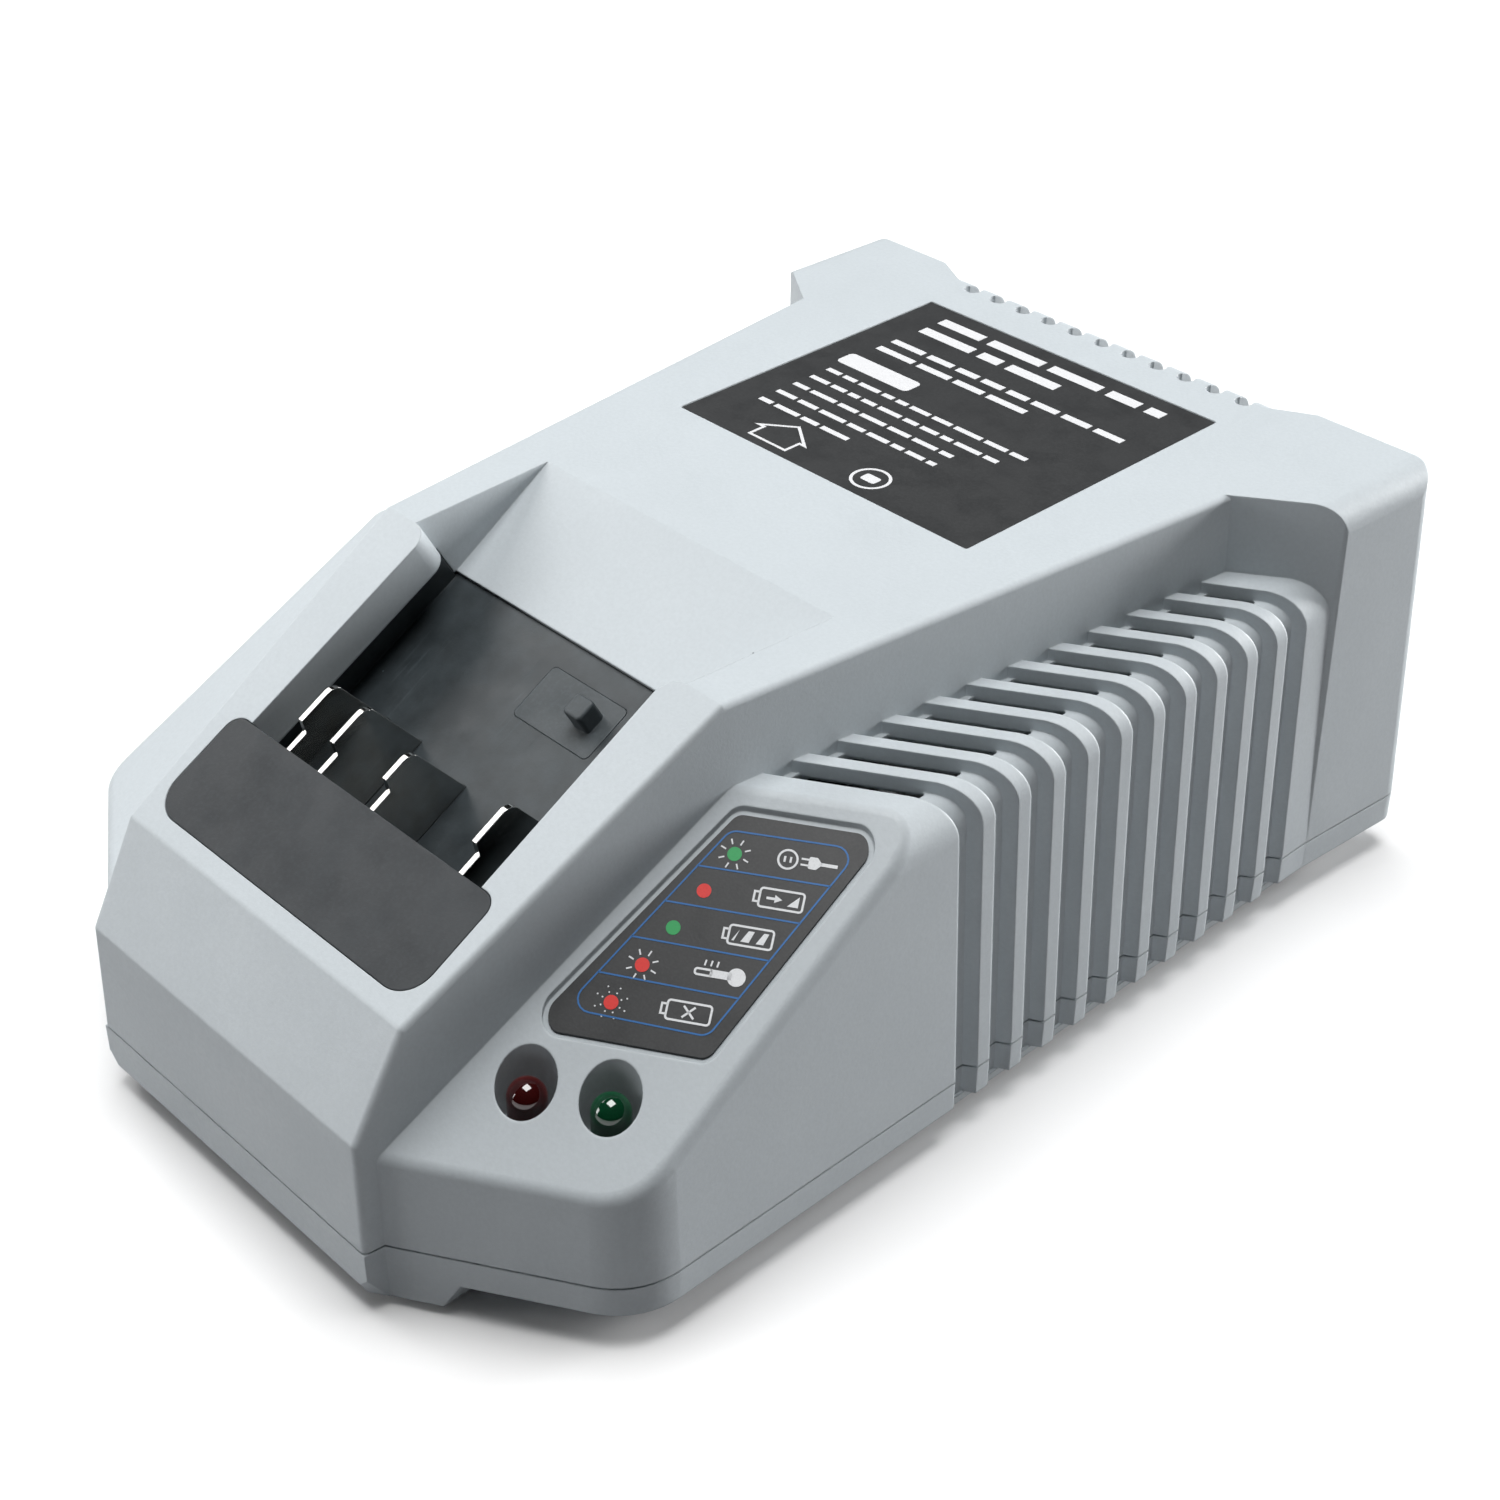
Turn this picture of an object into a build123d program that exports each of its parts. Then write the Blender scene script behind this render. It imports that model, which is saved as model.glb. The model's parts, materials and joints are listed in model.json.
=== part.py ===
from build123d import *
import os
from math import atan2, cos, degrees, radians, sin, sqrt, tan

# Battery charger for a slide-on tool battery.  Millimetres.
# X to the right, Y from the nose to the back, Z up.  The origin lies on the table, on the centre
# line of the battery bay (x = 0), under the front edge of the nose (y = 0).

# ---------------------------------------------------------------- housing envelope
body_height = 65.4          # table to the flat top
parting_z = 10.0            # level of the joint between the two housing shells
parting_gap = 0.3           # shadow line between the shells
wall = 2.2                  # shell wall
body_length = 169.7         # nose to the back wall, at the parting line
back_draft = 4.0            # degrees, the back wall leans forward going up

nose_half_width = 28.4      # spine half width at the nose, at the parting line
spine_flare = 0.11          # gain of half width per mm towards the back
spine_draft = 1.8           # degrees, side walls lean in going up
spine_edge_radius = 0.9     # soft edge of the spine
chamfer_low_y, chamfer_low_z = 0.65, 26.7     # lower edge of the nose's sloping face
nose_edge_y, nose_edge_z = 8.2, 40.1          # upper edge of it, where the bay slope starts
slope_top_y = 54.0          # where the bay slope meets the flat top

# ---------------------------------------------------------------- wings beside the spine
wing_x_right = 55.6         # outer wall of the right wing, which carries the status panel
wing_x_left = 52.4          # outer wall of the narrower left wing
wing_draft = 2.0            # degrees
wing_top_z = 53.7           # flat top of the wings
wing_round_right = 5.5      # rounding of the long outer top edge
wing_round_left = 2.5
wing_corner_right = 11.0    # rounding of the front outer corner, seen from above
wing_corner_left = 7.0
wing_root = 27.0            # the wings start inside the spine, at this distance
sweep_rate = 0.62           # all cross edges of the wings run back by this per mm outwards
sweep_x = 29.5              # distance from the centre line where swept places are measured
wing_front_q = 3.3          # front wall
panel_top_q = 52.6          # crease between the sloping panel and the flat top
panel_rise_right = 0.617    # slope of the right panel, height per mm of depth
panel_rise_left = 0.49
panel_edge_radius = 2.0     # soft rim of the sloping panels

# ---------------------------------------------------------------- cooling ribs on the wings
rib_count = 11
rib_pitch = 6.5
first_groove_q = 56.9
groove_width = 4.2
groove_depth = 1.7
groove_wall = 1.6           # skin left behind a groove
slot_width = 2.4            # through slots in the groove floors, along the rib behind
slot_radius = 0.5
slot_undercut = 1.6         # each slot widens under the rib behind it
slot_roof = 0.4             # skin over the widened part
slot_wall_gap = 1.2         # slot end to the spine wall
slot_edge_gap = 7.2         # slot end to the outer wall of the wing
slot_shortest = 2.6

# ---------------------------------------------------------------- rear block
block_length = 31.5         # from the front face, measured at block_front_x, to the back wall
block_front_x = 42.0
block_step_left = 2.1       # the left half of the front face lies further back
block_sweep = 0.70          # the front face runs back by this per mm outwards
block_x_right = 55.6        # side wall at the front corner, at the parting line
block_x_left = 52.4
block_flare_right = 0.07    # gain of half width per mm towards the back
block_flare_left = -0.03
block_draft = 1.0           # degrees, side walls
block_shoulder_right = 4.2  # rounding of the long outer top edges
block_shoulder_left = 2.5
block_front_radius = 1.2    # upright edges
block_back_radius = 3.0
recess_depth = 1.2          # back wall between the two rear corners
recess_shoulder = 2.8       # rounding of its top edge
recess_half_width = 28.4
recess_slant = 7.4          # sideways run of the slanted recess flanks
recess_slant_depth = 4.0
vent_count = 11
vent_pitch = 5.2
vent_width = 2.4
vent_reach = 5.4            # depth of the cut, from the top of the back wall
vent_split_z = 37.0         # middle of the bar between the upper and lower vents
vent_bar = 4.0
vent_low_z = 16.0
vent_mouth_radius = 1.35    # round front end of an upper vent, through the flat top
vent_mouth_depth = 3.0

# ---------------------------------------------------------------- battery bay, along the slope
bay_half_width = 23.2       # between the two rails
bay_undercut = 3.0          # free groove under each rail for the battery's own rails
rail_thickness = 5.8
bay_end_u = 52.3            # rear end of the rails, along the slope
bay_depth = 11.9            # rail face to bay floor
channel_depth = 11.3        # rail face to the lead-in ramp
channel_half_width = 26.2   # of the lead-in ramp at its lower end
channel_flare = 0.06        # gain of half width per mm
channel_floor = 2.2
rail_end_radius = 3.0
cover_half_width = 26.3
cover_front_u = 2.8
cover_back_u = 18.4
cover_thickness = 1.6
cover_radius_front = 4.4
cover_radius_back = 2.2
fit_gap = 0.12              # clearance round pieces let into the housing
seat_gap = 0.05             # clearance between pieces that rest on each other
insert_wall = 1.4
insert_floor = 2.0
insert_front_u = 14.4

# ---------------------------------------------------------------- contacts and coding key
blade_xs = {"minus": -17.5, "thermistor": -10.8, "coding": 0.0, "plus": 17.5}
blade_thickness = 0.8
blade_front_u = 16.4
blade_step_u = 21.8         # where the low shoulder rises to the full blade
blade_back_u = 28.7
coding_blade_back_u = 27.1
blade_lean = 2.4            # the rear edge runs back by this down to the bay floor
blade_top_depth = 0.3       # under the rail face
blade_shoulder_depth = 2.3
blade_corner_radius = 1.8
tail_width = 4.0
tail_u = 22.0
tail_length = 5.0
lead_diameter = 2.6
lead_strip = 2.5            # bare end that stands in the board
lead_board_y = 44.0
key_x, key_u = 5.1, 44.8
key_width, key_length, key_thickness = 14.3, 8.3, 1.2
key_corner_radius = 0.8
peg_x, peg_u = 8.3, 45.2
peg_side, peg_height, peg_radius = 3.2, 3.4, 0.6

# ---------------------------------------------------------------- status lights and labels
led_xs = {"red": 36.2, "green": 44.9}
led_q = 15.2
led_diameter = 5.0
led_flange_diameter = 5.8
led_flange = 1.0
led_body = 6.1              # flange underside to the centre of the dome
dome_sink = 2.3             # centre of the dome under the panel face
well_diameter = 7.4
well_depth = 7.2            # panel face to the well's floor, at the axis
well_wall = 1.4
led_leg = 0.5
led_leg_pitch = 2.54
leg_below = 1.6             # legs and tails end this far under the board
label_bottom_q = 21.6
label_top_q = 49.8
label_inner_gap = 2.8       # status label to the spine wall
label_outer_gap = 5.0       # status label to the outer wall
label_thickness = 0.25
label_recess = 0.6
label_margin = 0.7
label_corner_radius = 1.8
rating_width, rating_length = 54.4, 51.8
rating_y = 127.6            # middle of the rating label
rating_radius = 0.4
rating_margin = 0.15
rating_recess = 0.4

# ---------------------------------------------------------------- base
band_height = 4.25          # upright edge of the lower shell
base_z = 1.6                # underside of the base
base_thickness = 2.2
keel_half_width = 34.5      # belly under the nose
keel_front_y = 1.2
belly_inset = 3.2           # belly behind the wings' outer walls
belly_slant = 2.0
belly_wing_q = 22.0         # where the belly widens under the wings
belly_block_step = (4.8, 7.8)    # where it widens under the rear block, behind its front face
lip_height = 1.5
lip_width = 1.0
foot_diameter = 10.0
foot_socket = 0.8
foot_back = 14.7            # rear feet to the back wall
foot_places = [(-24.0, 20.0), (24.0, 20.0), (-41.0, body_length - foot_back), (47.0, body_length - foot_back)]

# ---------------------------------------------------------------- fasteners
screw_back = 26.7           # rear screws to the back wall
screw_places = [
    (-20.0, 7.0), (20.0, 7.0),
    (-42.5, body_length - screw_back), (47.0, body_length - screw_back),
]
upward = (Align.CENTER, Align.CENTER, Align.MIN)    # a solid built upwards from its base
screw_diameter = 3.5
screw_core = 2.8
screw_head_diameter = 6.6
screw_head = 2.4
screw_length = 16.0
screw_clearance = 0.2
boss_diameter = 7.6
boss_web_length = 6.0       # from a boss out to the nearest end wall
socket_diameter = 9.6
screw_seat_z = 5.6
screw_seat_top = 9.8
board_screw_back = 39.7     # rear board screws to the back wall
board_screw_places = [(x, y) for y in (60.0, body_length - board_screw_back) for x in (-34.0, 38.0)]
board_screw_diameter = 2.9
board_screw_core = 2.3
board_screw_head_diameter = 5.2
board_screw_head = 1.8
board_screw_length = 8.0
standoff_diameter = 6.6

# ---------------------------------------------------------------- cord inlet
gland_x, gland_z = -41.4, 23.0
gland_bore = 6.4
gland_diameter = 8.6
gland_flange_diameter = 10.6
gland_flange = 1.4
gland_pad_depth = 3.6       # thickness of the back wall round the bush
gland_seat_depth = 1.5      # flat seat of the flange, under the lower edge of the back wall

# ---------------------------------------------------------------- circuit board
board_z = 14.0
board_thickness = 1.6
board_left, board_right = -40.0, 44.0
board_front, board_back = 34.0, body_length - 34.2
tongue_left, tongue_right = 31.5, 48.5
tongue_front_q = 12.2       # front edge of the board's tongue under the status lights
tongue_back = 52.0

# ---------------------------------------------------------------- parts on the board: (x, y) and sizes
transformer_place = (0.0, 92.0)
core_size = (34.0, 11.0, 30.0, 5.5)     # width, depth, height, leg
core_pole = 10.0
core_joint = 0.15
bobbin_wall = 1.0
bobbin_depth = 27.0
bobbin_rail = 4.5
bobbin_foot = 1.2
winding_diameter = 21.0
choke_place = (-28.0, 72.0)
choke_outer, choke_inner, choke_height = 18.0, 9.5, 7.0
choke_wire = 0.9
choke_turns = 7
choke_turn_angle = 17.0
x_capacitor_place = (-33.0, 98.0)
x_capacitor_size = (9.0, 24.0, 17.0)
fuse_place = (-18.0, board_back - 4.0)
fuse_diameter, fuse_length, fuse_cap = 5.2, 20.0, 5.2
fuse_lift = 1.6
rectifier_place = (-1.0, board_back - 22.5)
rectifier_size = (19.0, 3.6, 15.0)
leg_width, leg_thickness = 0.9, 0.7
package_width, package_depth, package_height = 10.2, 4.5, 9.2
package_tab, package_tab_height = 1.3, 7.0
package_stand = 4.0
sink_width, sink_plate, sink_height = 28.0, 2.5, 30.0
sink_fins, sink_fin, sink_reach = 6, 1.2, 5.0
primary_sink_place = (16.0, board_back - 12.5)
secondary_sink_place = (34.5, 84.0)
bulk_capacitor_place = (-22.0, board_back - 17.5)
bulk_capacitor_size = (18.0, 35.0)
output_capacitor_size = (12.5, 20.0)
output_capacitor_places = [(23.0, 50.0), (23.0, 65.0)]
chip_stand = 0.6
chip_leg, chip_leg_reach, chip_leg_thickness = 1.0, 1.0, 0.3
control_chip_place = (0.0, 64.0)
control_chip_size = (20.0, 6.4, 3.4)
optocoupler_size = (6.0, 6.4, 3.4)
optocoupler_places = [(22.0, 78.0), (22.0, 90.0)]
lead_core = 1.4
lead_bend = 9.0             # stiffness of the leads' curve

# ---------------------------------------------------------------- fan
fan_size = 40.0
fan_depth = 10.0
fan_front_y = body_length - 21.7
fan_bore = 38.0
fan_z = 36.0
fan_hub = 18.0
fan_shaft = 3.0
fan_shaft_clearance = 0.05
fan_blade_count = 7
fan_tip_gap = 0.6
fan_blade_thickness = 1.2
fan_hole_offset = 16.0
fan_hole = 3.4
fan_strut = 1.6
fan_hub_front = 0.6         # frame's front face to the hub
fan_hub_wall = 1.6
fan_end_gap = 0.4           # hub to the struts behind it
fan_blade_chord = 9.0
fan_blade_pitch = 38.0
cradle_x = 14.0             # the two ribs that carry the fan frame
cradle_thickness = 2.4
cradle_cheek_front = 2.0
cradle_cheek_back = 1.2
cradle_top_z = 24.0

# ---------------------------------------------------------------- derived places
slope_angle = degrees(atan2(body_height - nose_edge_z, slope_top_y - nose_edge_y))
bay_frame = Plane(
    origin=(0, nose_edge_y, nose_edge_z),
    x_dir=(1, 0, 0),
    z_dir=(0, -sin(radians(slope_angle)), cos(radians(slope_angle))),
)
board_top = board_z + board_thickness
shell_height = body_height - parting_z
spine_back_y = body_length - 19.7
block_front_y = body_length - block_length
gland_seat_y = body_length - gland_seat_depth
min_radius = 0.2            # smallest rounding of an inner form
far = 400.0


def swept_y(q, x):
    """Y of the swept line q at the distance |x| from the centre line."""
    return q + sweep_rate * (abs(x) - sweep_x)


def spine_half(y, z):
    """Half width of the spine at the length y and the height z."""
    return nose_half_width + spine_flare * y - (z - parting_z) * tan(radians(spine_draft))


def wall_crossing(q, z):
    """Distance from the centre line where the swept line q meets the spine wall."""
    return (spine_half(q - sweep_rate * sweep_x, z)) / (1 - spine_flare * sweep_rate)


def face_of(points):
    """Flat face with the given corners."""
    return make_face(Polyline(*points, close=True))


def prism(face, low, high):
    """Upright prism over a plan face."""
    return extrude(Pos(0, 0, low) * face, amount=high - low)


def slope_box(x0, x1, u0, u1, w0, w1):
    """Box in the bay's frame: x across, u up the slope, w out of the rail face."""
    return bay_frame * Pos((x0 + x1) / 2, (u0 + u1) / 2, (w0 + w1) / 2) * Box(x1 - x0, u1 - u0, w1 - w0)


def slope_prism(face, w0, w1):
    """Prism over a face drawn in the bay's frame."""
    return extrude(bay_frame * Pos(0, 0, w0) * face, amount=w1 - w0, dir=bay_frame.z_dir)


def upright_face(points):
    """Flat plan face with the given corners, its normal upwards whichever way they run."""
    area = sum(x0 * y1 - x1 * y0 for (x0, y0), (x1, y1) in zip(points, points[1:] + points[:1]))
    return face_of(points if area > 0 else points[::-1])


def shrink(face, inset):
    """Face moved inwards by the inset, with sharp corners."""
    return offset(face, -inset, kind=Kind.INTERSECTION) if inset else face


def fillet_corner(face, x, y, radius):
    """Round the corner of a plan face that lies nearest to x, y."""
    corner = face.vertices().sort_by_distance((x, y, 0))[0]
    return fillet(corner, radius)


# ================================================================ outer form of the housing

def spine_plan(inset=0.0):
    half_back = nose_half_width + spine_flare * spine_back_y
    plan = face_of([
        (-nose_half_width, 0),
        (nose_half_width, 0),
        (half_back, spine_back_y),
        (-half_back, spine_back_y),
    ])
    return shrink(plan, inset)


def spine_form(inset=0.0):
    """Tapered spine under the nose faces, the bay slope and the flat top."""
    rise = (nose_edge_z - chamfer_low_z) / (nose_edge_y - chamfer_low_y)
    front = -5.0
    side = Plane.YZ * face_of([
        (front, -far),
        (front, chamfer_low_z + rise * (front - chamfer_low_y)),
        (nose_edge_y, nose_edge_z),
        (slope_top_y, body_height),
        (far, body_height),
        (far, -far),
    ])
    column = extrude(Pos(0, 0, parting_z) * spine_plan(inset), amount=shell_height, taper=spine_draft)
    return column & extrude(shrink(side, inset), amount=far, both=True)


def wing_outer(side):
    return wing_x_right if side > 0 else wing_x_left


def wing_corner(side):
    return wing_corner_right if side > 0 else wing_corner_left


def wing_round(side):
    return wing_round_right if side > 0 else wing_round_left


def wing_plan(side, inset=0.0):
    outer = wing_outer(side)
    inner = wing_root - 2 * inset
    plan = upright_face([
        (side * inner, swept_y(wing_front_q, inner)),
        (side * outer, swept_y(wing_front_q, outer)),
        (side * outer, spine_back_y),
        (side * inner, spine_back_y),
    ])
    plan = fillet_corner(plan, side * outer, swept_y(wing_front_q, outer), wing_corner(side))
    return shrink(plan, inset)


def panel_plane(side):
    """Plane of the sloping wing panel; its level lines run along the sweep."""
    rise = panel_rise_right if side > 0 else panel_rise_left
    return Plane(
        origin=(side * sweep_x, panel_top_q, wing_top_z),
        x_dir=(side, sweep_rate, 0),
        z_dir=(side * rise * sweep_rate, -rise, 1),
    )


def above_panel(side, shift=0.0):
    """Space over the panel plane, moved up by the shift."""
    return panel_plane(side) * Pos(0, 0, shift + far / 2) * Box(far, far, far)


def soften_panel(body, side):
    """Round the rim of the sloping panel, down to the corner and the front edge."""
    normal = panel_plane(side).z_dir
    panel = [f for f in body.faces() if (f.normal_at() - normal).length < 0.001][0]
    rim = [e for e in panel.edges() if abs(e.center().X) > sweep_x and e.center().Z < wing_top_z - 0.1]
    return fillet(rim, panel_edge_radius)


def wing_form(side, inset=0.0):
    """One wing without its ribs: flat top, sloping panel and a rounded outer edge."""
    top = wing_top_z - inset
    low_x = wing_outer(side) - inset
    high_x = low_x - (top - parting_z) * tan(radians(wing_draft))
    body = extrude(Pos(0, 0, parting_z) * wing_plan(side, inset), amount=top - parting_z, taper=wing_draft)
    profile = Plane.XZ * face_of([
        (0, 0),
        (side * (low_x + 1), 0),
        (side * low_x, parting_z),
        (side * high_x, top),
        (0, top),
    ])
    corner = profile.vertices().sort_by_distance((side * high_x, 0, top))[0]
    profile = fillet(corner, max(wing_round(side) - inset, min_radius))
    body = body & extrude(profile, amount=far, both=True)
    body = body - above_panel(side, -inset)
    return body if inset else soften_panel(body, side)


def groove_start(k):
    return first_groove_q + k * rib_pitch


def groove_slab(side, k):
    """Slab of space over one groove, wide enough to pass the outer wall."""
    q0 = groove_start(k)
    q1 = q0 + groove_width
    inner, outer = 15.0, wing_outer(side) + 5.0
    return prism(face_of([
        (side * inner, swept_y(q0, inner)),
        (side * outer, swept_y(q0, outer)),
        (side * outer, swept_y(q1, outer)),
        (side * inner, swept_y(q1, inner)),
    ]), 0, body_height)


def groove_cut(side):
    """What the grooves take away from a wing and from the base's edge under it."""
    inner = prism(wing_plan(side, groove_depth), 0, parting_z) + wing_form(side, groove_depth)
    cut = [groove_slab(side, k) - inner for k in range(rib_count)]
    return Part() + cut


def block_front(x):
    """Y of the rear block's front face at x."""
    step = 0 if x > 0 else block_step_left
    return block_front_y + step + block_sweep * (abs(x) - block_front_x)


def block_outer(side):
    """X of one outer front corner of the rear block, at the parting line."""
    return block_x_right if side > 0 else -block_x_left


def block_flare(side):
    return block_flare_right if side > 0 else block_flare_left


def block_x(side, y, z):
    """X of one side wall of the rear block."""
    corner = block_outer(side)
    lean = (z - parting_z) * tan(radians(block_draft))
    return corner + side * (block_flare(side) * (y - block_front(corner)) - lean)


def back_y(z):
    """Y of the back wall at the height z."""
    return body_length - (z - parting_z) * tan(radians(back_draft))


def block_plan(z=parting_z, inset=0.0):
    """Section of the rear block at the height z."""
    inner = 20.0
    lean = (z - parting_z) * tan(radians(block_draft))
    back = back_y(z)
    right, left = block_outer(1) - lean, block_outer(-1) + lean
    corners = [
        (right, block_front(right), block_front_radius),
        (block_x(1, back, z), back, block_back_radius),
        (block_x(-1, back, z), back, block_back_radius),
        (left, block_front(left), block_front_radius),
    ]
    points = [(x, y) for x, y, radius in corners]
    plan = upright_face([(inner, block_front(inner))] + points + [(-inner, block_front(-inner))])
    for x, y, radius in corners:
        plan = fillet_corner(plan, x, y, radius)
    return shrink(plan, inset)


def recess_plan(inset=0.0):
    """Plan of the space behind the recessed back wall, open towards the back."""
    half, depth = recess_half_width + inset, back_y(body_height) - recess_slant_depth - inset
    wide = half + recess_slant
    return upright_face([
        (-half, depth),
        (half, depth),
        (wide, depth + recess_slant_depth),
        (wide, far),
        (-wide, far),
        (-wide, depth + recess_slant_depth),
    ])


def recess_cut(inset=0.0):
    """Space behind the recessed back wall and over its rounded top edge."""
    low, high = parting_z - 5, body_height - inset
    shift = recess_depth + inset
    wall_side = Plane.YZ * face_of([
        (0, low),
        (back_y(low) - shift, low),
        (back_y(high) - shift, high),
        (0, high),
    ])
    corner = wall_side.vertices().sort_by_distance((0, back_y(high) - shift, high))[0]
    wall_side = fillet(corner, recess_shoulder - inset / 2)
    return prism(recess_plan(inset), low, body_height + 1) - extrude(wall_side, amount=far, both=True)


def shoulder_space(side, top, inset):
    """Everything inside one drafted side wall of the rear block and its rounded shoulder."""
    outer = abs(block_outer(side)) - inset
    front = block_front(side * outer)
    high = outer - (top - parting_z) * tan(radians(block_draft))
    low = outer + parting_z * tan(radians(block_draft))
    profile = Plane(origin=(0, front, 0), x_dir=(1, 0, 0), z_dir=(0, -1, 0)) * face_of([
        (-side * far / 2, 0),
        (side * low, 0),
        (side * high, top),
        (-side * far / 2, top),
    ])
    corner = profile.vertices().sort_by_distance((side * high, front, top))[0]
    profile = fillet(corner, block_shoulder_right if side > 0 else block_shoulder_left)
    return extrude(profile, amount=far / 2, dir=(side * block_flare(side), 1, 0), both=True)


def block_form(inset=0.0):
    """Rear block with leaning walls, rounded shoulders and the recessed middle of its back."""
    top = body_height - inset
    body = loft([
        Pos(0, 0, parting_z) * block_plan(parting_z, inset),
        Pos(0, 0, top) * block_plan(top, inset),
    ], ruled=True)
    for side in (1, -1):
        body = body & shoulder_space(side, top, inset)
    return body - recess_cut(inset)


def round_spine(form):
    """Soften the long edges of the spine and its nose."""
    edges = [e for e in form.edges() if e.center().Z > parting_z + 1 and e.center().Y < spine_back_y - 5]
    flat_top = [e for e in edges if abs(e.center().Y - slope_top_y) < 1 and abs(e.center().X) < 1]
    return fillet([e for e in edges if e not in flat_top], spine_edge_radius)


def slot_strip(side, q0, q1, x0, x1):
    """Plan of a strip between two swept lines, with rounded corners."""
    plan = upright_face([
        (side * x0, swept_y(q0, x0)),
        (side * x1, swept_y(q0, x1)),
        (side * x1, swept_y(q1, x1)),
        (side * x0, swept_y(q1, x0)),
    ])
    return fillet(plan.vertices(), slot_radius)


def wing_slots(side):
    """Through slots along the rear side of the groove floors, widened under the next rib."""
    cuts = []
    floor = wing_top_z - groove_depth
    width = slot_width * sqrt(1 + sweep_rate**2)
    for k in range(rib_count):
        q1 = groove_start(k) + groove_width
        x0 = wall_crossing(q1 - width, wing_top_z) + slot_wall_gap
        x1 = wing_outer(side) - slot_edge_gap
        if x1 - x0 < slot_shortest:
            continue
        low = floor - 2 * groove_wall
        cuts.append(prism(slot_strip(side, q1 - width, q1, x0, x1), low, body_height))
        cuts.append(prism(slot_strip(side, q1 - width, q1 + slot_undercut, x0, x1), low, floor - slot_roof))
    return cuts


def outer_form():
    """Outside of the upper shell, ribs included."""
    form = round_spine(spine_form())
    for side in (1, -1):
        form = form + (wing_form(side) - groove_cut(side))
    return form + block_form()


def inner_form(drop=0.0):
    """Hollow of the upper shell, reaching down by the drop below the parting line."""
    inset = groove_depth + groove_wall
    hollow = spine_form(wall) + wing_form(1, inset) + wing_form(-1, inset) + block_form(wall)
    return hollow + prism(lower_outline(wall, inset), parting_z - drop, parting_z + 0.5)


def lower_outline(inset=0.0, wing_inset=None):
    """Plan of the whole housing at the parting line."""
    wing_inset = inset if wing_inset is None else wing_inset
    behind = Pos(0, back_y(parting_z) - recess_depth - inset + far / 2) * Rectangle(far, far)
    recess = recess_plan(inset) & behind
    block = block_plan(parting_z, inset) - recess
    return spine_plan(inset) + wing_plan(1, wing_inset) + wing_plan(-1, wing_inset) + block


# ================================================================ battery bay

def mirrored(points):
    """Closed outline from its right half."""
    return face_of(points + [(-x, y) for x, y in reversed(points)])


def channel_half(u):
    return channel_half_width + channel_flare * (u - bay_end_u)


def bay_upper_face():
    """Opening between the rails, widening into the channel behind them."""
    end = bay_end_u + 60
    face = mirrored([
        (bay_half_width, cover_back_u),
        (bay_half_width, bay_end_u),
        (channel_half(bay_end_u), bay_end_u),
        (channel_half(end), end),
    ])
    for side in (1, -1):
        face = fillet_corner(face, side * bay_half_width, bay_end_u, rail_end_radius)
    return face


def channel_face(start, margin=0.0):
    end = bay_end_u + 60
    return mirrored([(channel_half(start) + margin, start), (channel_half(end) + margin, end)])


insert_half_width = bay_half_width + bay_undercut + insert_wall
insert_back_u = bay_end_u + 0.5
insert_side_u = bay_end_u + 0.1
insert_low_w = -bay_depth - insert_floor
head_half_width = bay_half_width - 0.4
head_back_u = cover_back_u - 1.0
head_top_w = -cover_thickness - 2 * seat_gap


def bay_space():
    """Everything that the battery bay takes out of the upper shell."""
    lower = slope_prism(channel_face(insert_side_u), -channel_depth, -rail_thickness + 1)
    upper = slope_prism(bay_upper_face(), -rail_thickness, 60)
    seat = slope_box(
        -insert_half_width - fit_gap, insert_half_width + fit_gap,
        insert_front_u - fit_gap, insert_side_u + fit_gap,
        insert_low_w - 12, -rail_thickness,
    )
    seat_back = slope_box(
        -insert_half_width - fit_gap, insert_half_width + fit_gap,
        insert_side_u, insert_back_u + fit_gap,
        insert_low_w - 12, -channel_depth,
    )
    head = slope_box(
        -head_half_width - fit_gap, head_half_width + fit_gap,
        insert_front_u - fit_gap, cover_back_u + 1,
        -rail_thickness - 1, 0,
    )
    return [lower, upper, seat, seat_back, head]


def cover_face(margin=0.0):
    half = cover_half_width + margin
    length = cover_back_u - cover_front_u + 2 * margin
    face = Pos(0, (cover_front_u + cover_back_u) / 2) * Rectangle(2 * half, length)
    for side in (1, -1):
        face = fillet_corner(face, side * half, cover_front_u - margin, cover_radius_front + margin)
        face = fillet_corner(face, side * half, cover_back_u + margin, cover_radius_back + margin)
    return face


def contact_cover():
    return slope_prism(cover_face(), -cover_thickness, 0)


def blade_back(x):
    """Rear end of a blade's top edge, along the slope."""
    return coding_blade_back_u if x == blade_xs["coding"] else blade_back_u


def blade_profile(back, margin=0.0):
    """Side view of a contact blade in the bay's frame: u to the right, w up."""
    tail0, tail1 = tail_u - tail_width / 2, tail_u + tail_width / 2
    low = insert_low_w - tail_length
    face = face_of([
        (blade_front_u, -bay_depth),
        (blade_front_u, -blade_shoulder_depth),
        (blade_step_u, -blade_shoulder_depth),
        (blade_step_u + 0.6, -blade_top_depth),
        (back, -blade_top_depth),
        (back + blade_lean, -bay_depth),
        (tail1, -bay_depth),
        (tail1, low),
        (tail0, low),
        (tail0, -bay_depth),
    ])
    face = fillet_corner(face, back, -blade_top_depth, blade_corner_radius)
    return offset(face, margin, kind=Kind.INTERSECTION) if margin else face


def blade_plate(x, thickness, margin=0.0):
    """Plate of the given thickness with the blade's side view, standing at x."""
    side_plane = bay_frame * Plane(origin=(x - thickness / 2, 0, 0), x_dir=(0, 1, 0), z_dir=(1, 0, 0))
    return extrude(side_plane * blade_profile(blade_back(x), margin), amount=thickness)


def contact_blade(x):
    return blade_plate(x, blade_thickness)


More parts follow.
